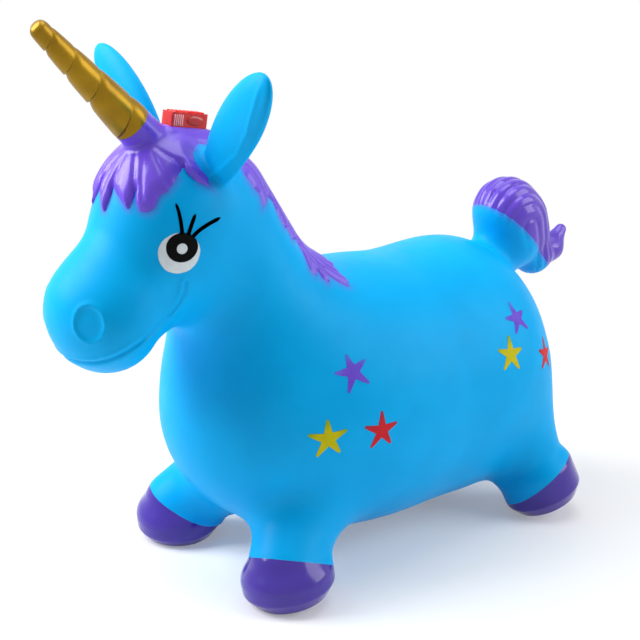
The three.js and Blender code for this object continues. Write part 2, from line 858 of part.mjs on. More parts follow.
// A box with round upright corners, standing on z = bottom
function block(width, length, bottom, top, corner = 0) {
  const shape = new THREE.Shape();
  const w = width / 2;
  const l = length / 2;
  if (corner > 0) {
    shape.moveTo(-w + corner, -l);
    shape.lineTo(w - corner, -l);
    shape.quadraticCurveTo(w, -l, w, -l + corner);
    shape.lineTo(w, l - corner);
    shape.quadraticCurveTo(w, l, w - corner, l);
    shape.lineTo(-w + corner, l);
    shape.quadraticCurveTo(-w, l, -w, l - corner);
    shape.lineTo(-w, -l + corner);
    shape.quadraticCurveTo(-w, -l, -w + corner, -l);
  } else {
    shape.moveTo(-w, -l);
    shape.lineTo(w, -l);
    shape.lineTo(w, l);
    shape.lineTo(-w, l);
    shape.closePath();
  }
  const depth = top - bottom;
  const geometry = new THREE.ExtrudeGeometry(shape, { depth, bevelEnabled: false, curveSegments: 3 });
  return geometry.translate(0, 0, bottom);
}

function upright(radius, bottom, top, x = 0, y = 0) {
  const geometry = new THREE.CylinderGeometry(radius, radius, top - bottom, roundSegments);
  return geometry.rotateX(Math.PI / 2).translate(x, y, (bottom + top) / 2);
}

// Valve frame: on the rump, facing out along the skin's normal
const valveDirection = new THREE.Vector3(0, Math.cos(rad(valveTilt)), Math.sin(rad(valveTilt)));
const valveStart = new THREE.Vector3(0, rumpY, rumpZ).addScaledVector(valveDirection, 2 * rumpHalfHeight);
const valvePoint = meet(trunk, valveStart, valveDirection.clone().negate());
const valveNormal = gradient(trunk, valvePoint.toArray());
const valveTurn = new THREE.Quaternion().setFromUnitVectors(new THREE.Vector3(0, 0, 1), valveNormal);
const valveFrame = new THREE.Group();
valveFrame.position.copy(valvePoint);
valveFrame.quaternion.copy(valveTurn);
valveFrame.updateMatrixWorld();

// A hollow stretch of skin inside a box; its hollow runs a cell past the box, so its ends are open
function skin(form, low, high, cell, thickness = wall, outside = form) {
  const counts = low.map((value, axis) => Math.ceil((high[axis] - value) / cell));
  const size = low.map((value, axis) => (high[axis] - value) / counts[axis]);
  const hollowLow = low.map((value, axis) => value - size[axis]);
  const hollowCounts = counts.map((count) => count + 2);
  const hollow = surface(form, hollowLow, hollowCounts, size, thickness);
  return surface(outside, low, counts, size, 0).subtract(hollow);
}

// Torso
function addTorso() {
  const wide = Math.max(chestHalfWidth, rumpHalfWidth, barrelHalfWidth) + torsoBlend / 2;
  const low = [-wide, chestY - chestHalfLength - legBlend, 0];
  const high = [wide, tailLobeY + tailLobeRadius, tailCrownZ + tailCrownRadius];
  const torso = [frontLeg, rearLeg].reduce(
    (solid, leg) => solid.subtract(legZone(leg, 1, half)).subtract(legZone(leg, -1, half)),
    skin(trunk, low, high, torsoCell),
  );
  const hole = upright(valveSeatRadius + gap, -valveSeatDepth - wall, valveSeatDepth);
  const body = torso
    .subtract(halfSpace(neckSeam, neckNormal, -half))
    .subtract(tailZone(gap))
    .subtract(manePrism(gap))
    .subtract(solidOf(hole, valveFrame.matrixWorld));
  addPiece(hopper, 'torso_skin', geometryOf(body), vinyl);
}

// Neck and head
function addNeckAndHead() {
  const wide = Math.max(neckRootRadius, craniumHalfWidth) + neckBlend;
  const neckLow = [-wide, craniumY, muzzleZ - muzzleHalfHeight - headBlend];
  const neckHigh = [wide, neckRootY + neckRootRadius + neckBlend, craniumZ + craniumHalfHeight];
  const neck = skin(trunk, neckLow, neckHigh, neckCell)
    .intersect(halfSpace(neckSeam, neckNormal, half))
    .subtract(halfSpace(headSeam, headNormal, -half))
    .subtract(manePrism(gap));
  addPiece(hopper, 'neck_skin', geometryOf(neck), vinyl);
  const headLow = [-wide, muzzleY - muzzleHalfLength * 2, muzzleZ - muzzleHalfHeight - muzzleBlend];
  const headHigh = [wide, neckTopY + neckTopRadius, craniumZ + craniumHalfHeight + headBlend];
  const head = skin(trunk, headLow, headHigh, headCell)
    .intersect(halfSpace(headSeam, headNormal, half))
    .subtract(earZone(1, gap))
    .subtract(earZone(-1, gap))
    .subtract(forelockPrism(gap))
    .subtract(manePrism(gap));
  addPiece(hopper, 'head_skin', geometryOf(head), vinyl);
}

// Legs and painted hooves
function addLeg(name, leg) {
  const reach = leg.reach + hoofRound;
  const low = leg.centre.map((value) => value - reach);
  const high = leg.centre.map((value) => value + reach);
  const whole = skin(trunk, low, high, legCell, wall, roundTrunk)
    .intersect(halfSpace(new THREE.Vector3(), zAxis))
    .intersect(legZone(leg, 1, -half));
  const paintPoint = new THREE.Vector3(leg.hoofX, leg.hoofY, leg.paintZ);
  const paintNormal = new THREE.Vector3(...leg.paintNormal);
  const shank = whole.intersect(halfSpace(paintPoint, paintNormal, half));
  const hoof = whole.subtract(halfSpace(paintPoint, paintNormal, -half));
  addPair(`${name}_leg`, geometryOf(shank), vinyl);
  addPair(`${name}_hoof`, geometryOf(hoof), hairPaint);
}

// Ears
function addEars() {
  const low = earPivot.toArray().map((value) => value - 2 * earRootRadius);
  const high = [earTipX + earHalfWidth, earPivot.y + 2 * earRootRadius, earTipZ + earHalfWidth];
  const ear = skin(animal, low, high, earCell).intersect(earZone(1, 0));
  addPair('ear', geometryOf(ear), vinyl);
}

// Horn: a closed net of rings whose radius steps along a helix, hollowed from below
function addHorn() {
  const turn = new THREE.Quaternion().setFromUnitVectors(new THREE.Vector3(0, 0, 1), hornAxis);
  const matrix = new THREE.Matrix4().compose(hornBase, turn, new THREE.Vector3(1, 1, 1));
  const foot = -hornPivotDepth / 2;
  const dome = hornTipRadius;
  const radiusAt = (z) => {
    const cone = hornBaseRadius + (hornTipRadius - hornBaseRadius) * Math.max(z, 0) / hornLength;
    const left = Math.max(hornLength - z, 0);
    return left < dome ? cone * Math.sqrt(1 - (1 - left / dome) ** 2) : cone;
  };
  const vertices = [];
  for (let ring = 0; ring <= hornRings; ring += 1) {
    const share = ring / hornRings;
    const z = foot + (hornLength - foot - dome * 0.02) * (1 - (1 - share) ** 1.15);
    for (let side = 0; side < hornSides; side += 1) {
      const angle = side / hornSides * 2 * Math.PI;
      const phase = ((z / hornPitch - side / hornSides) % 1 + 1) % 1;
      const swell = z > 0 ? hornStep * (Math.sqrt(Math.sin(Math.PI * phase)) - 1) : 0;
      const radius = Math.max(radiusAt(z) + swell * radiusAt(z) / hornBaseRadius, 0.5);
      vertices.push(radius * Math.cos(angle), radius * Math.sin(angle), z);
    }
  }
  const bottom = vertices.length / 3;
  vertices.push(0, 0, foot, 0, 0, hornLength);
  const triangles = [];
  for (let side = 0; side < hornSides; side += 1) {
    const next = (side + 1) % hornSides;
    triangles.push(bottom, next, side);
    for (let ring = 0; ring < hornRings; ring += 1) {
      const a = ring * hornSides + side;
      const b = ring * hornSides + next;
      triangles.push(a, b, b + hornSides, a, b + hornSides, a + hornSides);
    }
    const last = hornRings * hornSides;
    triangles.push(last + side, last + next, bottom + 1);
  }
  const geometry = new THREE.BufferGeometry();
  geometry.setAttribute('position', new THREE.BufferAttribute(new Float32Array(vertices), 3));
  geometry.setIndex(triangles);
  const hollowTop = hornTipRadius - wall - hornStep;
  const hollow = new THREE.CylinderGeometry(
    hollowTop, hornBaseRadius - wall - hornStep, hornLength - dome - foot, hornSides,
  );
  hollow.rotateX(Math.PI / 2).translate(0, 0, (hornLength - dome - wall + foot) / 2);
  const horn = solidOf(geometry, matrix)
    .subtract(solidOf(hollow, matrix))
    .subtract(ball(hornPivot, hornRimRadius + half, jointSegments, xAxis));
  addPiece(hopper, 'horn', geometryOf(horn), goldPaint);
}

// Forelock with the horn's collar and the hole for the module's pocket
function addForelock() {
  const wide = sideLockTip[0] + hairCell;
  const low = [-wide, craniumY - craniumHalfLength * 1.6, craniumZ - craniumHalfHeight * 0.2];
  const high = [wide, moduleY + coverLength * 1.5, hornBaseZ + 2 * hornPivotDepth];
  const turn = new THREE.Quaternion().setFromUnitVectors(zAxis, hornAxis);
  const hornPlace = new THREE.Matrix4().compose(hornBase, turn, new THREE.Vector3(1, 1, 1));
  const hornZone = solidOf(upright(hornBaseRadius * 2, -hornPivotDepth / 2, hornLength), hornPlace)
    .subtract(ball(hornPivot, hornRimRadius - half, jointSegments, xAxis));
  const hole = block(pocketWidth + 2 * gap, pocketLength + 2 * gap, -pocketDepth * 2, pocketDepth);
  const ledge = block(flangeWidth + 2 * gap, flangeLength + 2 * gap, 0, pocketDepth);
  const forelock = skin(forelockForm, low, high, hairCell, hairRelief + hairSeat)
    .intersect(forelockPrism(0))
    .subtract(hornZone)
    .subtract(solidOf(hole, moduleFrame.matrixWorld))
    .subtract(solidOf(ledge, moduleFrame.matrixWorld))
    .subtract(earZone(1, gap))
    .subtract(earZone(-1, gap));
  addPiece(hopper, 'forelock', geometryOf(forelock), hairPaint);
}

// Mane along the nape
function addMane() {
  const wide = maneHalfWidth + maneNotch;
  const low = [-wide, maneY - maneDepth, neckRootZ];
  const high = [wide, neckRootY + neckRootRadius + neckBlend, maneZ + 2 * hairCell];
  const mane = skin(maneForm, low, high, hairCell, maneRelief + hairSeat)
    .intersect(manePrism(0))
    .subtract(forelockPrism(gap));
  addPiece(hopper, 'mane', geometryOf(mane), hairPaint);
}

// Tail: the blue stump and the painted hair above it
function addTail() {
  const wide = tailRootReach + tailCell;
  const low = [-wide, tailPivotY - tailRootReach - tailCell, tailPivotZ - tailRootReach - tailCell];
  const high = [wide, tailTipY + 2 * tailTipRadius, tailCrownZ + tailCrownRadius + tailBlend];
  const tail = skin(animal, low, high, tailCell).intersect(tailZone(0));
  const paintPoint = new THREE.Vector3(0, tailPaintY, tailPaintZ);
  const paintNormal = midNormal(tailPaintTilt);
  const stump = tail.subtract(halfSpace(paintPoint, paintNormal, -half));
  const hair = tail.intersect(halfSpace(paintPoint, paintNormal, half));
  addPiece(hopper, 'tail_stump', geometryOf(stump), vinyl);
  addPiece(hopper, 'tail_hair', geometryOf(hair), hairPaint);
}

// Air valve: a soft seat in the skin and a push-in plug, both turned about the valve's axis
function turned(profile) {
  const points = profile.map(([radius, height]) => new THREE.Vector2(radius, height));
  return new THREE.LatheGeometry(points, roundSegments).rotateX(Math.PI / 2);
}

function addValve() {
  const seat = turned([
    [valveBoreRadius, -valveSeatDepth],
    [valveSeatRadius, -valveSeatDepth],
    [valveSeatRadius, gap],
    [valveLipRadius, gap],
    [valveLipRadius, valveLip],
    [valveBoreRadius, valveLip],
    [valveBoreRadius, -valveSeatDepth],
  ]);
  addPiece(valveFrame, 'valve_seat', geometryOf(solidOf(seat)), vinyl);
  const stemRadius = valveBoreRadius - plugClearance;
  const under = valveLip + gap;
  const plug = turned([
    [0, under - plugStemLength],
    [plugTipRadius, under - plugStemLength],
    [stemRadius, under - plugStemLength / 2],
    [stemRadius, under],
    [plugHeadRadius, under],
    [plugHeadRadius, under + plugHeadThickness / 2],
    [plugHeadRadius - plugHeadThickness / 2, under + plugHeadThickness],
    [0, under + plugHeadThickness],
  ]);
  addPiece(valveFrame, 'valve_plug', geometryOf(solidOf(plug)), palePlastic);
  hopper.add(valveFrame);
}

// Module: pocket, tray, board and its parts, cover. Heights are along the module's own upright
function addModule() {
  const flangeBottom = gap;
  const flangeTop = flangeBottom + flangeThickness;
  const trayBottom = -trayDepth;
  const floorTop = trayBottom + trayFloor;
  const boardBottom = flangeTop + gap;
  const boardTop = boardBottom + boardThickness;
  const coverBottom = flangeTop + gap;
  const coverTop = coverBottom + coverHeight;
  const ceiling = coverTop - coverWall;
  const holeWidth = trayWidth - 2 * trayWall;
  const holeLength = trayLength - 2 * trayWall;
  const postReach = holeLength / 2 - postRadius - postClearance;
  const posts = [-postReach, postReach];

  const pocketOuter = block(pocketWidth, pocketLength, -pocketDepth, 0, coverCorner);
  const innerWidth = trayWidth + 2 * pocketClearance;
  const innerLength = trayLength + 2 * pocketClearance;
  const pocketInner = block(innerWidth, innerLength, -trayDepth - pocketClearance, 1, coverCorner);
  const pocket = solidOf(pocketOuter).subtract(solidOf(pocketInner));
  addPiece(moduleFrame, 'module_pocket', geometryOf(pocket), hairPaint);

  let tray = solidOf(block(trayWidth, trayLength, trayBottom, flangeTop, coverCorner))
    .add(solidOf(block(flangeWidth, flangeLength, flangeBottom, flangeTop, coverCorner)))
    .subtract(solidOf(block(holeWidth, holeLength, floorTop, flangeTop + 1)));
  for (const y of posts) {
    tray = tray
      .subtract(solidOf(upright(screwRadius + gap, trayBottom - 1, floorTop + 1, 0, y)))
      .subtract(solidOf(upright(screwHeadRadius + gap, trayBottom - 1, trayBottom + screwHeadHeight, 0, y)));
  }
  addPiece(moduleFrame, 'module_tray', geometryOf(tray), palePlastic);

  const roomWidth = coverWidth - 2 * coverWall;
  const roomLength = coverLength - 2 * coverWall;
  let cover = solidOf(block(coverWidth, coverLength, coverBottom, coverTop, coverCorner))
    .subtract(solidOf(block(roomWidth, roomLength, coverBottom - 1, ceiling, coverCorner)));
  const ribPitch = (coverLength - 2 * coverCorner) / coverRibCount;
  for (let i = 0; i < coverRibCount; i += 1) {
    const ribTop = coverTop + coverRibHeight;
    const rib = block(coverWidth - 2 * coverCorner, coverRibWidth, coverTop - coverWall / 2, ribTop);
    cover = cover.add(solidOf(rib.translate(0, (i + 0.5 - coverRibCount / 2) * ribPitch, 0)));
  }
  for (const y of posts) {
    cover = cover
      .add(solidOf(upright(postRadius, floorTop + gap, ceiling + coverWall / 2, 0, y)))
      .subtract(solidOf(upright(screwRadius + gap / 2, floorTop, floorTop + screwGrip + gap, 0, y)));
  }
  addPiece(moduleFrame, 'module_cover', geometryOf(cover), redPlastic);
  posts.forEach((y, i) => {
    const headBottom = trayBottom + gap;
    const head = solidOf(upright(screwHeadRadius, headBottom, trayBottom + screwHeadHeight - gap / 2, 0, y));
    const shank = solidOf(upright(screwRadius, headBottom, floorTop + screwGrip, 0, y));
    addPiece(moduleFrame, `module_screw_${i + 1}`, geometryOf(head.add(shank)), steel);
  });

  let board = solidOf(block(holeWidth + 2 * boardLedge, holeLength + 2 * boardLedge, boardBottom, boardTop));
  for (const y of posts) {
    board = board.subtract(solidOf(upright(postRadius + gap, boardBottom - 1, boardTop + 1, 0, y)));
  }
  addPiece(moduleFrame, 'circuit_board', geometryOf(board), boardGreen);

  const onBoard = boardTop + gap;
  const speaker = upright(speakerRadius, onBoard, onBoard + speakerHeight, 0, speakerY);
  addPiece(moduleFrame, 'speaker', geometryOf(solidOf(speaker)), darkPlastic);
  [-1, 1].forEach((side, i) => {
    const led = upright(ledRadius, onBoard, onBoard + ledHeight, side * ledSpacing / 2, ledY);
    addPiece(moduleFrame, `led_${i + 1}`, geometryOf(solidOf(led)), whitePlastic);
  });

  const cellZ = floorTop + gap + cellRadius;
  const cellPitch = cellHeight + gap;
  for (let i = 0; i < cellCount; i += 1) {
    const cell = new THREE.CylinderGeometry(cellRadius, cellRadius, cellHeight, roundSegments);
    cell.translate(0, (i - (cellCount - 1) / 2) * cellPitch, cellZ);
    addPiece(moduleFrame, `button_cell_${i + 1}`, geometryOf(solidOf(cell)), steel);
  }
  const contactY = cellCount * cellPitch / 2 + gap / 2 + contactThickness / 2;
  [-1, 1].forEach((side, i) => {
    const contact = block(contactWidth, contactThickness, floorTop + gap, floorTop + gap + contactHeight);
    contact.translate(0, side * contactY, 0);
    addPiece(moduleFrame, `battery_contact_${i + 1}`, geometryOf(solidOf(contact)), steel);
  });

  const springHeight = springCurls * springPitch;
  const spring = coil(springRadius, springWire / 2, springPitch, springCurls);
  spring.translate(0, springY, onBoard + springWire / 2);
  addPiece(moduleFrame, 'shake_spring', geometryOf(solidOf(spring)), steel);
  const pin = upright(springPinRadius, onBoard, onBoard + springHeight + springPinRise, 0, springY);
  addPiece(moduleFrame, 'shake_pin', geometryOf(solidOf(pin)), steel);
  hopper.add(moduleFrame);
}

// One unbroken wire wound upright; prints the least gap between its neighbouring curls
function coil(radius, wire, pitch, curls) {
  const steps = curls * 8;
  const sides = 5;
  const spot = (turn) => new THREE.Vector3(
    radius * Math.cos(turn * 2 * Math.PI), radius * Math.sin(turn * 2 * Math.PI), turn * pitch,
  );
  const vertices = [];
  for (let step = 0; step <= steps; step += 1) {
    const turn = step / steps * curls;
    const outward = new THREE.Vector3(Math.cos(turn * 2 * Math.PI), Math.sin(turn * 2 * Math.PI), 0);
    for (let side = 0; side < sides; side += 1) {
      const angle = side / sides * 2 * Math.PI;
      const point = spot(turn).addScaledVector(outward, wire * Math.cos(angle));
      point.z += wire * Math.sin(angle);
      vertices.push(...point.toArray());
    }
  }
  const triangles = [];
  for (let step = 0; step < steps; step += 1) {
    for (let side = 0; side < sides; side += 1) {
      const a = step * sides + side;
      const b = step * sides + (side + 1) % sides;
      triangles.push(a, a + sides, b, b, a + sides, b + sides);
    }
  }
  const last = steps * sides;
  for (let side = 1; side < sides - 1; side += 1) {
    triangles.push(0, side, side + 1, last, last + side + 1, last + side);
  }
  let least = Infinity;
  for (let step = 0; step < steps - 4; step += 1) {
    for (let other = step + 4; other <= steps; other += 1) {
      const apart = spot(step / 8).distanceTo(spot(other / 8));
      least = Math.min(least, apart - 2 * wire);
    }
  }
  console.log(`shake_spring least gap to itself ${least.toFixed(2)} mm`);
  const geometry = new THREE.BufferGeometry();
  geometry.setAttribute('position', new THREE.BufferAttribute(new Float32Array(vertices), 3));
  geometry.setIndex(triangles);
  return geometry;
}

addTorso();
addNeckAndHead();
addLeg('front', frontLeg);
addLeg('rear', rearLeg);
addEars();
addHorn();
addForelock();
addMane();
addTail();
addValve();
addModule();

// The middle of the hopper's length stands over the origin
const extent = new THREE.Box3().setFromObject(hopper);
const middleY = (extent.min.y + extent.max.y) / 2;
hopper.children.forEach((piece) => {
  piece.position.y -= middleY;
});

export default hopper;
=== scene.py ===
import math

import bpy
import numpy as np
from mathutils import Matrix, Vector


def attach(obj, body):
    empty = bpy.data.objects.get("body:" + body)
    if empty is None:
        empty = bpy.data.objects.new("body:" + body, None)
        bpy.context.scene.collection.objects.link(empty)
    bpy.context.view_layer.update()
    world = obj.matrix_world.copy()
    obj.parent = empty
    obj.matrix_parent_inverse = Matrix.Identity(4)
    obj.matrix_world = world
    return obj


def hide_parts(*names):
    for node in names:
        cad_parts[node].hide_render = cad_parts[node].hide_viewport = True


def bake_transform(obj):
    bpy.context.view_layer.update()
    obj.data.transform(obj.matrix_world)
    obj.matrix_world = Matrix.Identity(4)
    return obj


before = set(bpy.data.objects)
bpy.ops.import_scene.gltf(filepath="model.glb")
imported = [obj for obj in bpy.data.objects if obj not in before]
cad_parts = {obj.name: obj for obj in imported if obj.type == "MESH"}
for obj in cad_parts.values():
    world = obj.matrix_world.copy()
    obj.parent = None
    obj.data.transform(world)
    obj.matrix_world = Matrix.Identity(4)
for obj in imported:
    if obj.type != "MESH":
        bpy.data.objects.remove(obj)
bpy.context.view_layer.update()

# Shapes are worked out in millimetres, in a frame whose origin lies SHIFT_Y behind the row's
SHIFT_Y = 14.61
CHUNK = 300000
TINY = 1e-9
FAR = 1e9
SIDES = (("left", False), ("right", True))


def vec(*values):
    return np.array(values, float)


def unit(value):
    return np.asarray(value, float) / np.linalg.norm(value)


def metres(points):
    return (np.asarray(points, float) + vec(0, SHIFT_Y, 0)) / 1000


def mirror(points):
    return np.asarray(points, float) * vec(-1, 1, 1)


def mirrored(mesh):
    verts, faces = mesh
    return mirror(verts), [face[::-1] for face in faces]


def tilted(degrees):
    angle = math.radians(degrees)
    return vec(0, -math.sin(angle), math.cos(angle))


# Distances to simple rounded bodies, for arrays of points
def ellipsoid(p, centre, half):
    q = (p - vec(*centre)) / vec(*half)
    reach = np.sqrt((q * q).sum(-1))
    q = q / vec(*half)
    return reach * (reach - 1) / np.maximum(np.sqrt((q * q).sum(-1)), TINY)


def round_cone(p, start, end, start_radius, end_radius):
    start = vec(*start)
    axis = vec(*end) - start
    length2 = axis @ axis
    taper = start_radius - end_radius
    side2 = length2 - taper * taper
    q = p - start
    along = q @ axis
    beyond = along - length2
    off = q * length2 - along[..., None] * axis
    off2 = (off * off).sum(-1)
    limit = np.sign(taper) * taper * taper * off2
    result = (np.sqrt(off2 * side2 / length2) + along * taper) / length2 - start_radius
    low = np.sign(along) * side2 * along * along * length2 < limit
    result = np.where(low, np.sqrt(off2 + along * along * length2) / length2 - start_radius, result)
    high = np.sign(beyond) * side2 * beyond * beyond * length2 > limit
    return np.where(high, np.sqrt(off2 + beyond * beyond * length2) / length2 - end_radius, result)


def smooth_min(a, b, blend):
    share = np.maximum(blend - np.abs(a - b), 0) / blend
    return np.minimum(a, b) - share * share * blend * 0.25


def smooth_step(value, low, high):
    t = np.clip((value - low) / (high - low), 0, 1)
    return t * t * (3 - 2 * t)


def bell(distance, width):
    return np.exp(-(distance / width) ** 2)


def strands(place, valley=0.02, power=0.25):
    return (np.sin(np.pi * place) ** 2 + valley) ** power - 1


def folded(p):
    q = p.copy()
    q[..., 0] = np.abs(q[..., 0])
    return q


# Torso, neck, head and legs
CHEST = ((0, -68, 148.5), (108.5, 127.5, 115.5))
RUMP = ((0, 128, 144.5), (108.5, 83, 121))
BARREL = ((0, 30, 140.5), (118.5, 152, 125.5))
NECK = ((0, -107.5, 219.5), (0, -164.5, 337.5), 69.5, 53)
CRANIUM = ((0, -203, 334.5), (60, 57, 67.5))
MUZZLE = ((0, -264, 265.5), (50, 34.5, 44))
BRIDGE = ((0, -203, 321), (0, -264, 265.5), 39.5, 43.5)
JAW = ((0, -216.5, 281.5), (0, -194, 303), 36, 43)
TORSO_BLEND = 53
CRANIUM_BLEND = 36
MUZZLE_BLEND = 27
JAW_BLEND = 22.5
NECK_BLEND = 45
HEAD_BLEND = 27
LEG_BLEND = 27
ANKLE_BLEND = 9
ANKLE_RISE = 11
SOLE_FLAT = 1.6
HOOF_ROUND = 13.5
HOOF_BEVEL = 11
HOOF_BEVEL_TURN = math.radians(36)
HOOF_INSET = 0.5
HOOF_EDGE = 1.2
HOOF_NEAR = 15
WALL_SINK = 3
WALL_FADE = (-9, -1)
# A hoof is a leaning disc of a radius and half height; its paint ends at paint_z, on a slope
FRONT_LEG = dict(hip=(40.5, -79.5, 85), thigh=41, ankle=33, hoof=(84, -138.5), radius=41, half=17,
                 lean=(-0.09, -0.16), paint_z=36.5, slope=(0.35, -0.4))
REAR_LEG = dict(hip=(53.5, 146, 140), thigh=38.5, ankle=31, hoof=(89, 174), radius=38.5, half=24,
                lean=(-0.27, -0.35), paint_z=36, slope=(0.65, 0.63))
LEGS = (("front", FRONT_LEG), ("rear", REAR_LEG))


def hoof_frame(leg):
    lean = np.hypot(*leg["lean"])
    stretch = np.hypot(lean, 1)
    sink = (leg["half"] - HOOF_ROUND + (leg["radius"] - HOOF_ROUND) * lean) / stretch
    centre = vec(*leg["hoof"], HOOF_ROUND + sink - SOLE_FLAT)
    return centre, vec(*leg["lean"], 1) / stretch


def hoof_place(p, leg):
    centre, up = hoof_frame(leg)
    q = p - centre
    rise = q @ up
    return rise, np.sqrt(np.maximum((q * q).sum(-1) - rise * rise, 0))


def leg_form(p, leg):
    centre, up = hoof_frame(leg)
    shank = round_cone(p, leg["hip"], centre + ANKLE_RISE * up, leg["thigh"], leg["ankle"])
    rise, spread = hoof_place(p, leg)
    over = spread - (leg["radius"] - HOOF_ROUND)
    above = np.abs(rise) - (leg["half"] - HOOF_ROUND)
    hoof = np.hypot(np.maximum(over, 0), np.maximum(above, 0))
    hoof = hoof + np.minimum(np.maximum(over, above), 0) - HOOF_ROUND
    return smooth_min(shank, hoof, ANKLE_BLEND)


def trunk(p):
    q = folded(p)
    torso = smooth_min(ellipsoid(q, *CHEST), ellipsoid(q, *BARREL), TORSO_BLEND)
    torso = smooth_min(torso, ellipsoid(q, *RUMP), TORSO_BLEND)
    head = smooth_min(ellipsoid(q, *CRANIUM), round_cone(q, *BRIDGE), CRANIUM_BLEND)
    head = smooth_min(head, ellipsoid(q, *MUZZLE), MUZZLE_BLEND)
    head = smooth_min(head, round_cone(q, *JAW), JAW_BLEND)
    body = smooth_min(torso, round_cone(q, *NECK), NECK_BLEND)
    body = smooth_min(body, head, HEAD_BLEND)
    legs = np.minimum(leg_form(q, FRONT_LEG), leg_form(q, REAR_LEG))
    return np.maximum(smooth_min(body, legs, LEG_BLEND), -q[..., 2])


def above_paint(q, leg):
    point = vec(*leg["hoof"], leg["paint_z"])
    return (q - point) @ unit((-leg["slope"][0], -leg["slope"][1], 1))


# A hoof's wall runs straight down to a crisp edge, with a bevel between it and the sole
def hoof_form(p):
    q = folded(p)
    form = trunk(p)
    for _, leg in LEGS:
        rise, spread = hoof_place(q, leg)
        wall = np.maximum(spread - leg["radius"], np.maximum(-rise - leg["half"], rise))
        wall = wall + WALL_SINK * smooth_step(above_paint(q, leg), *WALL_FADE)
        bevel = math.cos(HOOF_BEVEL_TURN) * (spread - leg["radius"] + HOOF_INSET)
        bevel = bevel - math.sin(HOOF_BEVEL_TURN) * (rise + leg["half"] - HOOF_BEVEL)
        crisp = -smooth_min(-np.minimum(form, wall), -bevel, HOOF_EDGE)
        near = (spread < leg["radius"] + HOOF_NEAR) & (np.abs(rise) < leg["half"] + HOOF_NEAR)
        form = np.where(near, np.maximum(crisp, -q[..., 2]), form)
    return form


# The distance to a path, and the share of the path at which it is reached
def path_distance(p, path):
    path = np.asarray(path, float)
    best = np.full(p.shape[:-1], FAR)
    place = np.zeros(p.shape[:-1])
    for n, (a, b) in enumerate(zip(path, path[1:])):
        axis = b - a
        t = np.clip(((p - a) @ axis) / (axis @ axis), 0, 1)
        off = p - a - t[..., None] * axis
        distance = np.sqrt((off * off).sum(-1))
        closer = distance < best
        best = np.where(closer, distance, best)
        place = np.where(closer, (n + t) / (len(path) - 1), place)
    return best, place


# The face: a smiling crease along the jaw and a dished nostril inside a low rim
MOUTH = [(52.8, -219.4, 293), (50, -219, 284.2), (47, -221.6, 276.3), (45.1, -227.8, 268.6),
         (46.9, -240.8, 260.6), (52, -257.1, 254.9), (49.2, -271.1, 246.8), (40.9, -281.7, 239.7),
         (29.3, -290.2, 235.1), (17.5, -295.8, 233.3), (0, -298.5, 232.4)]
MOUTH_DEPTH, MOUTH_WIDTH = 2.8, 1.9
MOUTH_FADE, MOUTH_FADE_TURN = 0.2, 3
LOWER_LIP = [(x, y + 1.5, z - 6) for x, y, z in MOUTH[2:]]
LOWER_LIP_RISE, LOWER_LIP_WIDTH = 0.6, 4.5
UPPER_LIP = [(x + 0.5, y - 2.6, z + 3.2) for x, y, z in MOUTH]
UPPER_LIP_RISE, UPPER_LIP_WIDTH = 0.8, 2.6
DIMPLE = vec(54, -228, 290)
DIMPLE_DEPTH, DIMPLE_WIDTH = 0.9, 7
NOSTRIL = vec(34.4, -297.5, 269)
NOSTRIL_OUT = unit((0.61, -0.79, 0.08))
NOSTRIL_SIDE = unit(np.cross((0, 0, 1), NOSTRIL_OUT))
NOSTRIL_UP = np.cross(NOSTRIL_OUT, NOSTRIL_SIDE)
NOSTRIL_HALF = (12.8, 15.4)
NOSTRIL_DEPTH = 1.9
NOSTRIL_RIM, NOSTRIL_RIM_WIDTH = 0.6, 0.17
NOSTRIL_NEAR = 25


def face_relief(p):
    q = folded(p)
    apart, place = path_distance(q, MOUTH)
    fade = 1 - MOUTH_FADE + MOUTH_FADE * np.cos(place * MOUTH_FADE_TURN)
    relief = -MOUTH_DEPTH * bell(apart, MOUTH_WIDTH) * fade
    relief = relief + LOWER_LIP_RISE * bell(path_distance(q, LOWER_LIP)[0], LOWER_LIP_WIDTH)
    relief = relief + UPPER_LIP_RISE * bell(path_distance(q, UPPER_LIP)[0], UPPER_LIP_WIDTH)
    relief = relief - DIMPLE_DEPTH * bell(np.linalg.norm(q - DIMPLE, axis=-1), DIMPLE_WIDTH)
    r = q - NOSTRIL
    ring = np.hypot((r @ NOSTRIL_SIDE) / NOSTRIL_HALF[0], (r @ NOSTRIL_UP) / NOSTRIL_HALF[1])
    dish = NOSTRIL_RIM * bell(ring - 1, NOSTRIL_RIM_WIDTH) - NOSTRIL_DEPTH * np.maximum(1 - ring ** 3, 0)
    return relief + np.where(np.abs(r @ NOSTRIL_OUT) < NOSTRIL_NEAR, dish, 0)


# Ears: flat leaves, wider towards the root, with a ridge down the front
EAR_BASE = vec(37, -182, 378.5)
EAR_TIP = vec(122.5, -190, 461)
EAR_AXIS = unit(EAR_TIP - EAR_BASE)
EAR_FORWARD = unit(vec(0, -1, 0) + EAR_AXIS[1] * EAR_AXIS)
EAR_SIDE = np.cross(EAR_AXIS, EAR_FORWARD)
EAR_MIDDLE = (EAR_BASE + EAR_TIP) / 2
EAR_HALF = vec(24, 10, np.linalg.norm(EAR_TIP - EAR_BASE) / 2)
EAR_ROOT, EAR_ROOT_MOST = 52, 1.2
EAR_ROOT_WIDEN, EAR_ROOT_STRETCH = 3, 0.8
EAR_RIDGE = [(-1, 58), (8, 38), (16.7, 14), (19.5, -12), (15, -36), (11, -54)]
EAR_RIDGE_RISE, EAR_RIDGE_WIDTH = 0.8, 2.2
EAR_RIDGE_FADE = (60, 42)
EAR_FRONT = -4
EAR_BLEND = 5
EAR_CUT = 6.2
EAR_BEND_END = 36


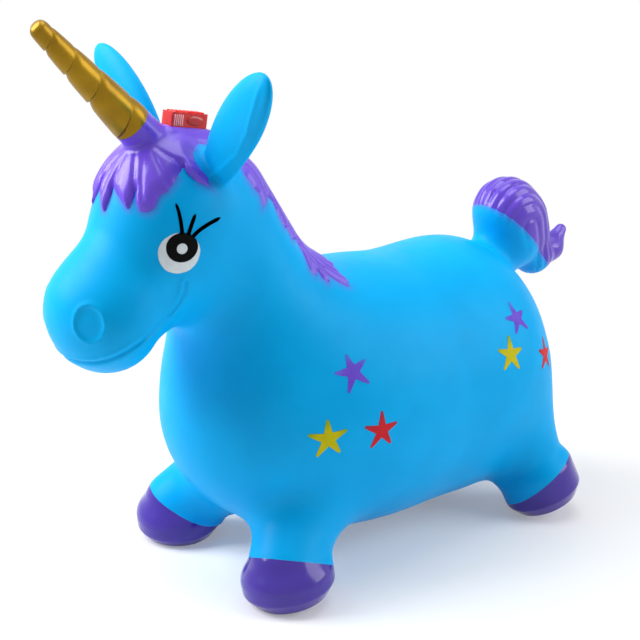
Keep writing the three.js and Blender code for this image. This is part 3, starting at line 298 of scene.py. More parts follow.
def ear_form(p):
    q = folded(p) - EAR_MIDDLE
    side, forward, along = q @ EAR_SIDE, q @ EAR_FORWARD, q @ EAR_AXIS
    low = np.clip(-along / EAR_ROOT, 0, EAR_ROOT_MOST)
    reach = np.where(along < 0, along * EAR_ROOT_STRETCH, along)
    leaf = ellipsoid(np.stack([side - EAR_ROOT_WIDEN * low * low, forward, reach], -1), (0, 0, 0), EAR_HALF)
    apart, _ = path_distance(np.stack([side, along], -1), EAR_RIDGE)
    ridge = EAR_RIDGE_RISE * bell(apart, EAR_RIDGE_WIDTH) * smooth_step(along, *EAR_RIDGE_FADE)
    return leaf - np.where(forward > EAR_FRONT, ridge, 0)


def head_form(p):
    return smooth_min(trunk(p) - face_relief(p), ear_form(p), EAR_BLEND)


def ear_rise(p):
    return (folded(p) - EAR_BASE) @ EAR_AXIS


# Tail: round links between knots of [y, z, radius], with strands that fade out down the blue stump
TAIL = [(206, 258, 33.5), (203, 285, 31.5), (219.5, 276, 26.5), (230.5, 258.5, 22), (243, 235, 18),
        (270.5, 237, 11.2), (285.5, 254, 5.9)]
TAIL_LINK_BLEND = 12
TAIL_BLEND = 22.5
TAIL_ROOT = vec(0, 192, 233)
TAIL_OUT = tilted(-55)
TAIL_CUT = 8
TAIL_PAINT = vec(0, 171.5, 298)
TAIL_PAINT_OUT = tilted(-41)
TAIL_PAINT_LIFT, TAIL_PAINT_WAVE = 3.6, 1.2
STRANDS = 6
STRAND_RELIEF = 2.2
STRAND_VALLEY, STRAND_POWER = 0.08, 0.4
STRAND_SPOT = (204, 273)
STRAND_FALL = unit((0.36, -0.93))
STRAND_HEART = 13
STRAND_CALM = (3, 11)
STRAND_NEAR = 6
STUMP_FADE = 26
STUMP_STRANDS = 0.4
STUMP_STRANDS_END = (-12, -2)
FLICK = vec(0, 243, 235)
FLICK_ALONG = unit((0, 0.876, -0.483))
FLICK_FADE, FLICK_LENGTH = 0.8, 24


def tail_form(p):
    links = [round_cone(p, (0, a[0], a[1]), (0, b[0], b[1]), a[2], b[2]) for a, b in zip(TAIL, TAIL[1:])]
    form = links[0]
    for link in links[1:]:
        form = smooth_min(form, link, TAIL_LINK_BLEND)
    return form


# Strands arch over a spot on the tail's side and fall from there to the flick at its end
def tail_strand(p):
    y, z = p[..., 1] - STRAND_SPOT[0], p[..., 2] - STRAND_SPOT[1]
    fall = np.maximum(y * STRAND_FALL[0] + z * STRAND_FALL[1], 0)
    off = np.hypot(y - fall * STRAND_FALL[0], z - fall * STRAND_FALL[1])
    angle = np.arctan2(np.abs(p[..., 0]), off - STRAND_HEART)
    relief = strands(STRANDS * np.sin(angle / 2) + 0.5, STRAND_VALLEY, STRAND_POWER)
    return relief * smooth_step(off, *STRAND_CALM)


def rump_form(p):
    return smooth_min(trunk(p), tail_form(p), TAIL_BLEND)


def tail_root(p):
    return (p - TAIL_ROOT) @ TAIL_OUT


def tail_paint(p):
    return (p - TAIL_PAINT) @ TAIL_PAINT_OUT


def tail_skin(p):
    form = rump_form(p)
    near = (np.abs(form) < STRAND_NEAR) & (tail_root(p) > TAIL_CUT)
    q = p[near]
    painted = smooth_step(tail_paint(q), *STUMP_STRANDS_END)
    fade = smooth_step(tail_root(q), TAIL_CUT, TAIL_CUT + STUMP_FADE)
    fade = fade * (STUMP_STRANDS + (1 - STUMP_STRANDS) * painted)
    fade = fade * (1 - FLICK_FADE * smooth_step((q - FLICK) @ FLICK_ALONG, 0, FLICK_LENGTH))
    form[near] -= STRAND_RELIEF * tail_strand(q) * fade
    return form


# Outlines of hair, drawn on a plane as [x, distance down, bulge of the edge to the next point]
def arc(start, end, bulge):
    start, end = vec(*start), vec(*end)
    across = vec(end[1] - start[1], start[0] - end[0]) / np.linalg.norm(end - start)
    control = (start + end) / 2 + across * bulge
    return [(1 - t) ** 2 * start + 2 * t * (1 - t) * control + t * t * end for t in (0, 0.2, 0.4, 0.6, 0.8)]


def outline(points):
    turn = sum(a[0] * b[1] - b[0] * a[1] for a, b in zip(points, points[1:] + points[:1]))
    ring = []
    for (x, v, bulge), after in zip(points, points[1:] + points[:1]):
        ring += arc((x, v), after[:2], math.copysign(bulge, bulge * turn) if bulge else 0)
    return np.array(ring)


def inside_by(x, v, ring):
    best = np.full(x.shape, FAR)
    inside = np.zeros(x.shape, bool)
    for (ax, av), (bx, bv) in zip(ring, np.roll(ring, -1, 0)):
        dx, dv = bx - ax, bv - av
        t = np.clip(((x - ax) * dx + (v - av) * dv) / (dx * dx + dv * dv), 0, 1)
        best = np.minimum(best, np.hypot(x - ax - t * dx, v - av - t * dv))
        if av != bv:
            crosses = ((av > v) != (bv > v)) & (x < ax + (v - av) / (bv - av) * dx)
            inside ^= crosses
    return np.where(inside, best, -best)


# Forelock: pointed locks that fan out from the horn's collar
FORELOCK_OUT = tilted(35)
FORELOCK_DOWN = np.cross((1, 0, 0), FORELOCK_OUT)
FORELOCK_ORIGIN = vec(0, -200, 400)
FORELOCK_SIDE = [
    (42.3, 49.2, 0), (44.7, 43, 0), (44.6, 34.3, 0), (42.4, 25.9, 0), (40.2, 18, 0), (44.3, 20.4, 0),
    (49.8, 20, 0), (53.1, 14.8, 0), (49.4, 9.5, 0), (44.5, 8.8, 0), (38.1, 6.2, 0), (31.1, 0.6, 0),
    (20.6, -12, 0), (21, -34, 0),
]
FORELOCK_FRONT = [
    (-42, 60, 0.5), (-36, 67, 1), (-29, 57, 1), (-24, 77, 1), (-13.5, 60, 1), (-9.6, 71.8, 0.5),
    (0.5, 80.5, 0), (4, 80.5, 0.8), (5, 63.2, 1.2), (24.5, 71.3, 0), (26.2, 70.8, 0.6), (27.1, 56.7, 0.5),
    (31.8, 65.5, 0.2), (34.3, 67.1, 0.4), (39.4, 64.4, 0.4), (42.4, 58.8, 0.3),
]
FORELOCK = outline(FORELOCK_FRONT + FORELOCK_SIDE + [(-x, v, 0) for x, v, _ in reversed(FORELOCK_SIDE)])
FORELOCK_GROOVES = [
    [(-29, 58), (-20, 44), (-14, 36)], [(-13.5, 61), (-9, 48), (-5, 38)], [(5, 64), (4, 50), (2, 40)],
    [(27, 58), (19, 45), (12, 35)], [(40, 18.5), (31, 21), (22, 21)], [(-40, 18.5), (-31, 21), (-22, 21)],
    [(43, 38), (33, 32), (23, 26)], [(15, 70), (12, 58), (9, 47)], [(36, 60), (27, 44), (19, 32)],
    [(-3, 76), (-3, 62), (-2, 48)], [(-23, 72), (-17, 58), (-11, 47)],
]
FORELOCK_DEPTHS = (2.3, 2.4, 2.4, 2.3, 2.0, 2.0, 1.3, 0.9, 1.2, 0.8, 0.8)
FORELOCK_RELIEF = 4.5
FORELOCK_ROUND = 6.5
GROOVE_WIDTH = 2.3
GROOVE_FADE = 0.8
HAIR_SKIRT = 1.3
HORN_AXIS = tilted(45)
HORN_BASE = vec(0, -235.5, 417.5)
HORN_START = -4
COLLAR_FOOT, COLLAR_HEAD = -40, 13
COLLAR_RADII = (17, 16)
COLLAR_BLEND = 6

# The module's place on the head, with a raised bed in the hair round its pocket
MODULE = vec(0, -168.889 - SHIFT_Y, 405.469)
MODULE_UP = unit((0, 0.15682, 0.98763))
MODULE_BACK = np.cross(MODULE_UP, (1, 0, 0))
POCKET_HALF = (9.9, 19.4)
POCKET_NEAR = -60
BED_HALF = vec(9, 19, 3.6)
BED_SINK = 6
BED_ROUND = 4.2
BED_BLEND = 7


def forelock_place(p):
    q = p - FORELOCK_ORIGIN
    return q[..., 0], q @ FORELOCK_DOWN


def forelock_height(p):
    x, v = forelock_place(p)
    edge = inside_by(x, v, FORELOCK)
    round_in = 1 - np.clip(edge / FORELOCK_ROUND, 0, 1)
    height = np.where(edge > 0, FORELOCK_RELIEF * np.sqrt(1 - round_in ** 2), HAIR_SKIRT * edge)
    place = np.stack([x, v], -1)
    for path, depth in zip(FORELOCK_GROOVES, FORELOCK_DEPTHS):
        apart, along = path_distance(place, path)
        height = height - depth * bell(apart, GROOVE_WIDTH) * (1 - GROOVE_FADE * along)
    return height


def forelock_form(p):
    foot, head = HORN_BASE + COLLAR_FOOT * HORN_AXIS, HORN_BASE + COLLAR_HEAD * HORN_AXIS
    collar = round_cone(p, foot, head, *COLLAR_RADII)
    hair = smooth_min(trunk(p) - forelock_height(p), collar, COLLAR_BLEND)
    q = p - MODULE
    bed = np.abs(np.stack([q[..., 0], q @ MODULE_BACK, q @ MODULE_UP + BED_SINK], -1)) - BED_HALF
    bed = np.linalg.norm(np.maximum(bed, 0), axis=-1) + np.minimum(bed.max(-1), 0) - BED_ROUND
    return smooth_min(hair, bed, BED_BLEND)


# Mane: strands that fall steeply to both sides of the nape
MANE_OUT = tilted(-56.5)
MANE_DOWN = np.cross(MANE_OUT, (1, 0, 0))
MANE_ORIGIN = vec(0, -150, 390)
MANE_HALF = [
    (18, -5, 0), (35.3, 8.5, 0.5), (43.1, 16.1, 0.5), (45.8, 27, 0.3), (44.5, 35, 0.4), (47.8, 46, 0.3),
    (37.5, 46.3, 0), (32.8, 58.4, 0), (37.1, 64, 0), (40, 71.6, 0), (42, 79, 0), (38.5, 82.2, 0),
    (41.5, 94, 0.4), (31.8, 101.1, 0), (36.2, 106.5, 0), (39.4, 112.2, 0), (44.6, 117.5, 0.3),
    (50.2, 123.1, 0), (52.5, 130, 0.3), (44.8, 129.1, 0), (52.4, 138.2, 0), (54.5, 144, 0.3),
    (42.7, 138, 0.4), (50.2, 151.2, 0), (55, 162, 0.3), (45.3, 156.8, 0), (36.9, 150.4, 0),
    (30.7, 152.2, 0), (22.1, 148.2, 0), (15.3, 143.7, 0),
]
MANE = outline(MANE_HALF + [(-x, v, 0) for x, v, _ in reversed(MANE_HALF)])
MANE_RELIEF = 3.0
MANE_ROUND = 4.5
MANE_LEAN = (0.93, -0.37)
MANE_WAVE, MANE_WAVE_LENGTH = 1.2, 17
MANE_STRAND = 7.4
MANE_STRAND_RELIEF = 2
MANE_BEHIND = -40


def mane_place(p):
    q = p - MANE_ORIGIN
    return q[..., 0], q @ MANE_DOWN


def mane_height(p):
    x, v = mane_place(p)
    edge = inside_by(x, v, MANE)
    round_in = 1 - np.clip(edge / MANE_ROUND, 0, 1)
    across = MANE_LEAN[0] * np.abs(x) + MANE_LEAN[1] * v + MANE_WAVE * np.sin(v / MANE_WAVE_LENGTH)
    strand = MANE_STRAND_RELIEF * strands(across / MANE_STRAND) * smooth_step(edge, 0, 2)
    height = MANE_RELIEF * np.sqrt(1 - round_in ** 2) + strand
    return np.where(edge > 0, height, HAIR_SKIRT * edge)


def mane_form(p):
    return trunk(p) - mane_height(p)


# Meshes from forms
def evaluate(form, points):
    flat = points.reshape(-1, 3)
    values = np.empty(len(flat))
    for start in range(0, len(flat), CHUNK):
        values[start:start + CHUNK] = form(flat[start:start + CHUNK])
    return values.reshape(points.shape[:-1])


SLOPE_STEP = 0.2
SLOPE_LEAST = 0.05
SETTLE_ROUNDS = 3


def slope(form, p, step=SLOPE_STEP):
    parts = []
    for axis in range(3):
        move = np.zeros(3)
        move[axis] = step
        parts.append((form(p + move) - form(p - move)) / (2 * step))
    return np.stack(parts, -1)


def normals_of(form, verts, step=SLOPE_STEP):
    g = slope(form, verts, step)
    return g / np.maximum(np.linalg.norm(g, axis=1, keepdims=True), TINY)


CORNERS = np.array([(i, j, k) for i in (0, 1) for j in (0, 1) for k in (0, 1)])
EDGES = [(a, b) for a in range(8) for b in range(a + 1, 8) if abs(CORNERS[a] - CORNERS[b]).sum() == 1]


def net(form, low, high, cell):
    """A quad mesh of a form's surface inside a box, one vertex to each cell that the surface crosses."""
    low = np.array(low, float)
    counts = np.ceil((np.array(high) - low) / cell).astype(int) + 1
    axes = [low[n] + cell * np.arange(counts[n]) for n in range(3)]
    values = evaluate(form, np.stack(np.meshgrid(*axes, indexing="ij"), -1))
    inside = values < 0
    shape = counts - 1
    filled = np.zeros(shape, np.int8)
    for i, j, k in CORNERS:
        filled += inside[i:i + shape[0], j:j + shape[1], k:k + shape[2]]
    active = np.argwhere((filled > 0) & (filled < 8))
    at = np.stack([values[tuple((active + corner).T)] for corner in CORNERS], 1)
    total = np.zeros((len(active), 3))
    hits = np.zeros(len(active))
    for a, b in EDGES:
        cross = (at[:, a] < 0) != (at[:, b] < 0)
        share = at[cross, a] / (at[cross, a] - at[cross, b])
        total[cross] += CORNERS[a] + share[:, None] * (CORNERS[b] - CORNERS[a])
        hits[cross] += 1
    verts = low + (active + total / hits[:, None]) * cell
    for _ in range(SETTLE_ROUNDS):
        g = slope(form, verts)
        step = form(verts)[:, None] * g / np.maximum((g * g).sum(1, keepdims=True), SLOPE_LEAST)
        verts = verts - np.clip(step, -cell / 2, cell / 2)
    index = np.full(shape, -1)
    index[tuple(active.T)] = np.arange(len(active))
    faces = []
    for axis in range(3):
        u, v = np.eye(3, dtype=int)[(axis + 1) % 3], np.eye(3, dtype=int)[(axis + 2) % 3]
        lower = np.take(inside, range(counts[axis] - 1), axis)
        upper = np.take(inside, range(1, counts[axis]), axis)
        spots = np.argwhere(lower != upper)
        fits = ((spots @ u >= 1) & (spots @ v >= 1)
                & (spots @ u <= counts @ u - 2) & (spots @ v <= counts @ v - 2))
        spots = spots[fits]
        quads = np.stack([index[tuple((spots + move).T)] for move in (-u - v, -v, 0 * u, -u)], 1)
        out = lower[tuple(spots.T)]
        faces.append(np.where(out[:, None], quads, quads[:, ::-1]))
    return verts, [tuple(face) for face in np.concatenate(faces).tolist()]


def clip(mesh, field):
    """The part of a mesh where a field is below zero."""
    verts, faces = mesh
    value = field(verts)
    keep = (value < 0).tolist()
    extra, made, kept = [], {}, []

    def crossing(a, b):
        key = (min(a, b), max(a, b))
        if key not in made:
            share = value[key[0]] / (value[key[0]] - value[key[1]])
            made[key] = len(verts) + len(extra)
            extra.append(verts[key[0]] + share * (verts[key[1]] - verts[key[0]]))
        return made[key]

    for face in faces:
        flags = [keep[n] for n in face]
        if all(flags):
            kept.append(face)
        elif any(flags):
            ring = []
            for n, m in zip(face, face[1:] + face[:1]):
                if keep[n]:
                    ring.append(n)
                if keep[n] != keep[m]:
                    ring.append(crossing(n, m))
            kept.append(tuple(ring))
    return tidy(np.concatenate([verts, np.array(extra).reshape(-1, 3)]), kept)


def tidy(verts, faces):
    used = sorted({n for face in faces for n in face})
    place = {n: i for i, n in enumerate(used)}
    return verts[used], [tuple(place[n] for n in face) for face in faces]


def piece(name, mesh, material, normals=None):
    verts, faces = mesh
    data = bpy.data.meshes.new(name)
    data.from_pydata(metres(verts).tolist(), [], faces)
    data.polygons.foreach_set("use_smooth", [True] * len(data.polygons))
    data.materials.append(material)
    data.update()
    if normals is not None:
        data.normals_split_custom_set_from_vertices(normals.tolist())
    made = bpy.data.objects.new(name, data)
    bpy.context.scene.collection.objects.link(made)
    return made


def note(made, name, values):
    attribute = made.data.attributes.new(name, "FLOAT", "POINT")
    attribute.data.foreach_set("value", np.asarray(values, np.float32))


# Materials
def colour(r, g, b):
    values = [c / 255 for c in (r, g, b)]
    return tuple(c / 12.92 if c <= 0.04045 else ((c + 0.055) / 1.055) ** 2.4 for c in values) + (1.0,)


def link(tree, source, target):
    tree.links.new(source, target)


def noise(tree, scale, detail=3.0):
    place = tree.nodes.new("ShaderNodeTexCoord")
    made = tree.nodes.new("ShaderNodeTexNoise")
    made.inputs["Scale"].default_value = scale
    made.inputs["Detail"].default_value = detail
    link(tree, place.outputs["Object"], made.inputs["Vector"])
    return made.outputs["Fac"]


NOISE_LOW, NOISE_HIGH = 0.3, 0.7
GLOSS_PATCH = 3.1
GRAIN_DEPTH = 0.0006


def spread(tree, source, low, high, begin=NOISE_LOW, end=NOISE_HIGH):
    made = tree.nodes.new("ShaderNodeMapRange")
    made.inputs["From Min"].default_value = begin
    made.inputs["From Max"].default_value = end
    made.inputs["To Min"].default_value = low
    made.inputs["To Max"].default_value = high
    link(tree, source, made.inputs["Value"])
    return made.outputs["Result"]


def combined(tree, operation, first, second):
    made = tree.nodes.new("ShaderNodeMath")
    made.operation = operation
    link(tree, first, made.inputs[0])
    link(tree, second, made.inputs[1])
    return made.outputs["Value"]


def mixed(tree, factor, first, second):
    made = tree.nodes.new("ShaderNodeMix")
    made.data_type = "RGBA"
    link(tree, factor, made.inputs[0])
    for value, socket in ((first, made.inputs[6]), (second, made.inputs[7])):
        if isinstance(value, tuple):
            socket.default_value = value
        else:
            link(tree, value, socket)
    return made.outputs[2]


def surface(name, dark, light, rough, patch=22, grain=900, bump=0.04, spray=None, **sockets):
    """A paint or plastic: two close tones in soft patches, uneven gloss and a fine grain."""
    made = bpy.data.materials.new(name)
    made.use_nodes = True
    tree = made.node_tree
    shader = tree.nodes["Principled BSDF"]
    tone = mixed(tree, spread(tree, noise(tree, patch), 0, 1), colour(*dark), colour(*light))
    if spray:
        mist = tree.nodes.new("ShaderNodeAttribute")
        mist.attribute_name = "spray"
        tone = mixed(tree, mist.outputs["Fac"], tone, colour(*spray))
    link(tree, tone, shader.inputs["Base Color"])
    gloss = spread(tree, noise(tree, patch * GLOSS_PATCH, 5), *rough)
    link(tree, gloss, shader.inputs["Roughness"])
    relief = tree.nodes.new("ShaderNodeBump")
    relief.inputs["Strength"].default_value = bump
    relief.inputs["Distance"].default_value = GRAIN_DEPTH
    link(tree, noise(tree, grain, 4), relief.inputs["Height"])
    link(tree, relief.outputs["Normal"], shader.inputs["Normal"])
    for socket, value in sockets.items():
        shader.inputs[socket.replace("_", " ")].default_value = value
    return made


vinyl = surface("blue_vinyl", (2, 162, 227), (4, 170, 235), (0.38, 0.48), spray=(104, 70, 204),
                Specular_IOR_Level=0.08)
hair_paint = surface("purple_paint", (98, 64, 204), (112, 76, 216), (0.26, 0.36), bump=0.05,
                     Specular_IOR_Level=0.3, Coat_Weight=0.2, Coat_Roughness=0.16)
tail_finish = surface("tail_paint", (84, 52, 180), (96, 62, 192), (0.16, 0.24), bump=0.05,
                      Specular_IOR_Level=0.3, Coat_Weight=0.25, Coat_Roughness=0.08)
hoof_paint = surface("hoof_paint", (58, 34, 146), (66, 42, 158), (0.14, 0.24), bump=0.05,
                     Specular_IOR_Level=0.3, Coat_Weight=0.25, Coat_Roughness=0.08)
gold_paint = surface("gold_paint", (136, 102, 6), (156, 120, 12), (0.3, 0.36), patch=40,
                     Metallic=0.6, Specular_IOR_Level=0.3)
white_paint = surface("white_paint", (198, 210, 216), (214, 222, 226), (0.45, 0.6), patch=160, bump=0.15)
black_paint = surface("black_paint", (8, 8, 9), (12, 12, 13), (0.4, 0.5), patch=160, bump=0.1,
                      Specular_IOR_Level=0.04)
STAR_TINTS = {
    "purple": ((96, 66, 194), (112, 80, 206), (60, 124, 220)),
    "yellow": ((184, 176, 0), (200, 188, 2), (112, 156, 10)),
    "red": ((188, 28, 38), (202, 38, 46), (140, 48, 76)),
}
star_paints = {}
for tint, (dark, light, thin) in STAR_TINTS.items():
    star_paints[tint] = surface(f"star_{tint}", dark, light, (0.45, 0.55), patch=90, bump=0.08, spray=thin,
                                Specular_IOR_Level=0.12)
red_plastic = surface("red_plastic", (222, 26, 28), (240, 40, 40), (0.12, 0.2), patch=150, bump=0.03,
                      Transmission_Weight=0.25)
dark_red = surface("dark_red_plastic", (176, 14, 18), (196, 20, 24), (0.15, 0.25), patch=150, bump=0.03)
# Pink for painted reflections: the stripes of light on the module cover's front end
painted_reflection_pink = surface("painted_reflection_pink", (240, 150, 148), (246, 176, 172), (0.2, 0.3), patch=150, bump=0.03)
pale_plastic = surface("pale_plastic", (224, 220, 212), (234, 230, 222), (0.3, 0.42), patch=120, bump=0.06)
white_plastic = surface("white_plastic", (232, 234, 236), (242, 243, 244), (0.1, 0.2), patch=200, bump=0.03)
board_green = surface("board_green", (36, 104, 62), (48, 118, 72), (0.3, 0.45), patch=300, bump=0.1)
dark_plastic = surface("dark_plastic", (34, 34, 36), (44, 44, 47), (0.35, 0.5), patch=300, bump=0.1)
steel = surface("steel", (176, 180, 184), (196, 199, 202), (0.22, 0.34), patch=400, bump=0.05, Metallic=1.0)


# Skin, with a mist of purple paint round the hair
SPRAY = 0.42
FORELOCK_SPRAY, FORELOCK_SPRAY_BEHIND = 2.6, -60
MANE_SPRAY, MANE_SPRAY_BEHIND = 3.2, -45
STUMP_SPRAY, STUMP_SPRAY_WIDTH = 0.35, 5


def spray_on(verts):
    x, v = forelock_place(verts)
    front = (verts - FORELOCK_ORIGIN) @ FORELOCK_OUT > FORELOCK_SPRAY_BEHIND
    mist = np.where(front, bell(np.minimum(inside_by(x, v, FORELOCK), 0), FORELOCK_SPRAY), 0)
    x, v = mane_place(verts)
    rear = (verts - MANE_ORIGIN) @ MANE_OUT > MANE_SPRAY_BEHIND
    rear_mist = np.where(rear, bell(np.minimum(inside_by(x, v, MANE), 0), MANE_SPRAY), 0)
    return SPRAY * np.maximum(mist, rear_mist)


HEAD_SEAM = vec(0, -150, 329)
HEAD_OUT = tilted(62.5)
LAP = 0.5
VALVE = vec(0, 224.507 - SHIFT_Y, 108.038)
VALVE_OUT = unit((0, 0.97666, -0.21479))
VALVE_HOLE = 13
VALVE_NEAR = 40
HOOF_REACH = 75
HOOF_MARGIN = 14


def past_head(p):
    return (p - HEAD_SEAM) @ HEAD_OUT


def pocket_room(p):
    q = p - MODULE
    return np.maximum(np.abs(q[:, 0]) - POCKET_HALF[0], np.abs(q @ MODULE_BACK) - POCKET_HALF[1])


def off_pocket(p):
    near = (p - MODULE) @ MODULE_UP > POCKET_NEAR
    return np.where(near, -pocket_room(p), -1)


def off_valve(p):
    q = p - VALVE
    rise = q @ VALVE_OUT
    spread_out = np.sqrt(np.maximum((q * q).sum(1) - rise * rise, 0))
    return np.where(np.abs(rise) < VALVE_NEAR, VALVE_HOLE - spread_out, -1)


def off_hoof(leg):
    centre, _ = hoof_frame(leg)

    def field(p):
        q = folded(p)
        near = np.linalg.norm(q - centre, axis=1) < HOOF_REACH
        return np.where(near, -above_paint(q, leg), -HOOF_REACH)

    return field


torso = net(rump_form, (-126, -210, -4), (126, 250, 400), cell=3.4)
torso = clip(torso, lambda p: past_head(p) - LAP)
torso = clip(torso, lambda p: tail_root(p) - TAIL_CUT - LAP)
for _, leg in LEGS:
    torso = clip(torso, off_hoof(leg))
torso = clip(torso, off_valve)
body = piece("body_skin", torso, vinyl, normals_of(rump_form, torso[0]))
note(body, "spray", spray_on(torso[0]))
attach(body, "hopper")
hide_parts("torso_skin", "neck_skin",
            "front_leg_left", "front_leg_right", "rear_leg_left", "rear_leg_right")

skull = net(head_form, (-70, -316, 208), (70, -120, 412), cell=1.45)
skull = clip(skull, lambda p: -past_head(p) - LAP)
skull = clip(skull, lambda p: ear_rise(p) - EAR_CUT - LAP)
skull = clip(skull, off_pocket)
head = piece("head_skin_soft", skull, vinyl, normals_of(head_form, skull[0]))
note(head, "spray", spray_on(skull[0]))
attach(head, "hopper")
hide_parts("head_skin")

leaf = net(head_form, (16, -222, 360), (134, -150, 474), cell=1.8)
leaf = clip(leaf, lambda p: EAR_CUT - ear_rise(p))
for side, flipped in SIDES:
    shape = mirrored(leaf) if flipped else leaf
    ear = piece(f"ear_{side}_soft", shape, vinyl, normals_of(head_form, shape[0]))
    note(ear, "spray", np.zeros(len(shape[0])))
    ends = [EAR_BASE + reach * EAR_AXIS for reach in (EAR_CUT, EAR_BEND_END)]
    ends = [metres(mirror(end) if flipped else end) for end in ends]
    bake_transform(ear)
    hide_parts(f"ear_{side}")

for name, leg in LEGS:
    centre, _ = hoof_frame(leg)
    reach = leg["radius"] + HOOF_MARGIN
    foot = net(hoof_form, (centre[0] - reach, centre[1] - reach, -3), centre + reach, cell=1.4)
    shank = off_hoof(leg)
    foot = clip(foot, lambda p: -shank(p))
    for side, flipped in SIDES:
        shape = mirrored(foot) if flipped else foot
        hoof = piece(f"{name}_hoof_{side}_painted", shape, hoof_paint, normals_of(hoof_form, shape[0]))
        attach(hoof, "hopper")
        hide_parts(f"{name}_hoof_{side}")

# Tail, in a blue and a painted piece that meet at a wavy edge
STRAND_STEP = 0.6
tail = net(tail_skin, (-64, 150, 190), (64, 300, 330), cell=1.5)
tail = clip(tail, lambda p: TAIL_CUT - tail_root(p))


def paint_edge(p):
    return tail_paint(p) + TAIL_PAINT_WAVE * tail_strand(p) + TAIL_PAINT_LIFT


stump = clip(tail, paint_edge)
stump_skin = piece("tail_stump_soft", stump, vinyl, normals_of(tail_skin, stump[0], STRAND_STEP))
note(stump_skin, "spray", STUMP_SPRAY * smooth_step(paint_edge(stump[0]), -STUMP_SPRAY_WIDTH, 0))
brush = clip(tail, lambda p: -paint_edge(p))
brush_skin = piece("tail_hair_painted", brush, tail_finish, normals_of(tail_skin, brush[0], STRAND_STEP))
for made, node, slot in ((stump_skin, "tail_stump", "vinyl_blue"), (brush_skin, "tail_hair", "paint_purple")):
    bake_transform(made)
    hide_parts(node)

# Forelock with the horn's collar, and mane, each sunk a little into the skin
SUNK = 1.5
COLLAR_LAP = 0.4


def below_skin(p):
    return -trunk(p) - SUNK


fringe = net(forelock_form, (-66, -292, 330), (66, -140, 440), cell=1.6)
fringe = clip(fringe, below_skin)
fringe = clip(fringe, lambda p: (p - HORN_BASE) @ HORN_AXIS - HORN_START - COLLAR_LAP)
fringe = clip(fringe, off_pocket)
forelock = piece("forelock_painted", fringe, hair_paint, normals_of(forelock_form, fringe[0]))
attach(forelock, "hopper")
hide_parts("forelock")

crest = net(mane_form, (-62, -175, 250), (62, -36, 406), cell=1.4)
crest = clip(crest, below_skin)
crest = clip(crest, lambda p: MANE_BEHIND - (p - MANE_ORIGIN) @ MANE_OUT)
mane = piece("mane_painted", crest, hair_paint, normals_of(mane_form, crest[0], STRAND_STEP))
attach(mane, "hopper")
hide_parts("mane")

# Horn: one step winds up a blunt cone, in turns that draw closer towards the tip
HORN_LENGTH = 111.8
HORN_BASE_RADIUS = 16.2
HORN_TIP_RADIUS = 7.2
HORN_TIP_ROUND = 7.5
HORN_TURNS = (0.000119, 0.021, -0.177)
HORN_STEP = 2.3
HORN_SHOULDER = 0.26
HORN_OVERHANG = 0.045
HORN_SWELL = 0.4
HORN_GROW = 4
HORN_SUNK = 1.5
HORN_CROWDING = 1.15
HORN_LEAST = 0.05
HORN_RINGS = 260
HORN_SIDES = 96


def turned_net(rings):
    count = len(rings[0])
    verts = np.concatenate(rings)
    faces = []
    for ring in range(len(rings) - 1):
        for side in range(count):
            a, b = ring * count + side, ring * count + (side + 1) % count
            faces.append((a, b, b + count, a + count))
    return verts, faces


def placed(local, origin, axis):
    third = unit(axis)
    second = np.cross(third, (1, 0, 0))
    return origin + local[:, :1] * vec(1, 0, 0) + local[:, 1:2] * second + local[:, 2:] * third


rings = []
angles = np.arange(HORN_SIDES) / HORN_SIDES * 2 * math.pi
for n in range(HORN_RINGS + 1):
    share = n / HORN_RINGS
    z = HORN_START - HORN_SUNK + (HORN_LENGTH - HORN_START + HORN_SUNK) * (1 - (1 - share) ** HORN_CROWDING)
    cone = HORN_BASE_RADIUS + (HORN_TIP_RADIUS - HORN_BASE_RADIUS) * max(z, 0) / HORN_LENGTH
    left = max(HORN_LENGTH - z, 0)
    if left < HORN_TIP_ROUND:
        cone *= max(1 - (1 - left / HORN_TIP_ROUND) ** 3, 0) ** (1 / 3)
    phase = (np.polyval(HORN_TURNS, z) - angles / (2 * math.pi)) % 1
    shoulder = np.maximum(phase - 1 + HORN_SHOULDER, 0) / HORN_SHOULDER
    overhang = np.maximum(HORN_OVERHANG - phase, 0) / HORN_OVERHANG
    swell = HORN_SWELL * np.sin(np.pi * phase) - HORN_STEP * np.maximum(shoulder ** 2, overhang)
    grow = min(max((z - HORN_START) / HORN_GROW, 0), 1)
    radius = np.maximum(cone + swell * grow * cone / HORN_BASE_RADIUS, HORN_LEAST)
    rings.append(np.stack([radius * np.cos(angles), radius * np.sin(angles), np.full(HORN_SIDES, z)], 1))
spiral = turned_net(rings)
spiral = (placed(spiral[0], HORN_BASE, HORN_AXIS), spiral[1])
horn = piece("horn_painted", spiral, gold_paint)
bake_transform(horn)
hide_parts("horn")

# Painted eyes, lashes and stars lie on the skin
DECAL_RISE = 0.22
RIBBON = (0.5, 0.25, 0, -0.25, -0.5)
DROP_START, DROP_ROUNDS, DROP_SHARE = 15, 40, 0.85


def laid(flat, faces, centre, side, up, form, rise):
    out = np.cross(side, up)
    p = centre + flat[:, :1] * side + flat[:, 1:] * up + DROP_START * out
    for _ in range(DROP_ROUNDS):
        p = p - DROP_SHARE * form(p)[:, None] * out
    return p + rise * normals_of(form, p), faces


def disc(ring, steps):
    ring = np.asarray(ring, float)
    count = len(ring)
    middle = ring.mean(0)
    verts = np.concatenate([[middle]] + [middle + (ring - middle) * k / steps for k in range(1, steps + 1)])
    faces = [(0, 1 + n, 1 + (n + 1) % count) for n in range(count)]
    for k in range(steps - 1):
        for n in range(count):
            a, b = 1 + k * count + n, 1 + k * count + (n + 1) % count
            faces.append((a, a + count, b + count, b))
    return verts, faces


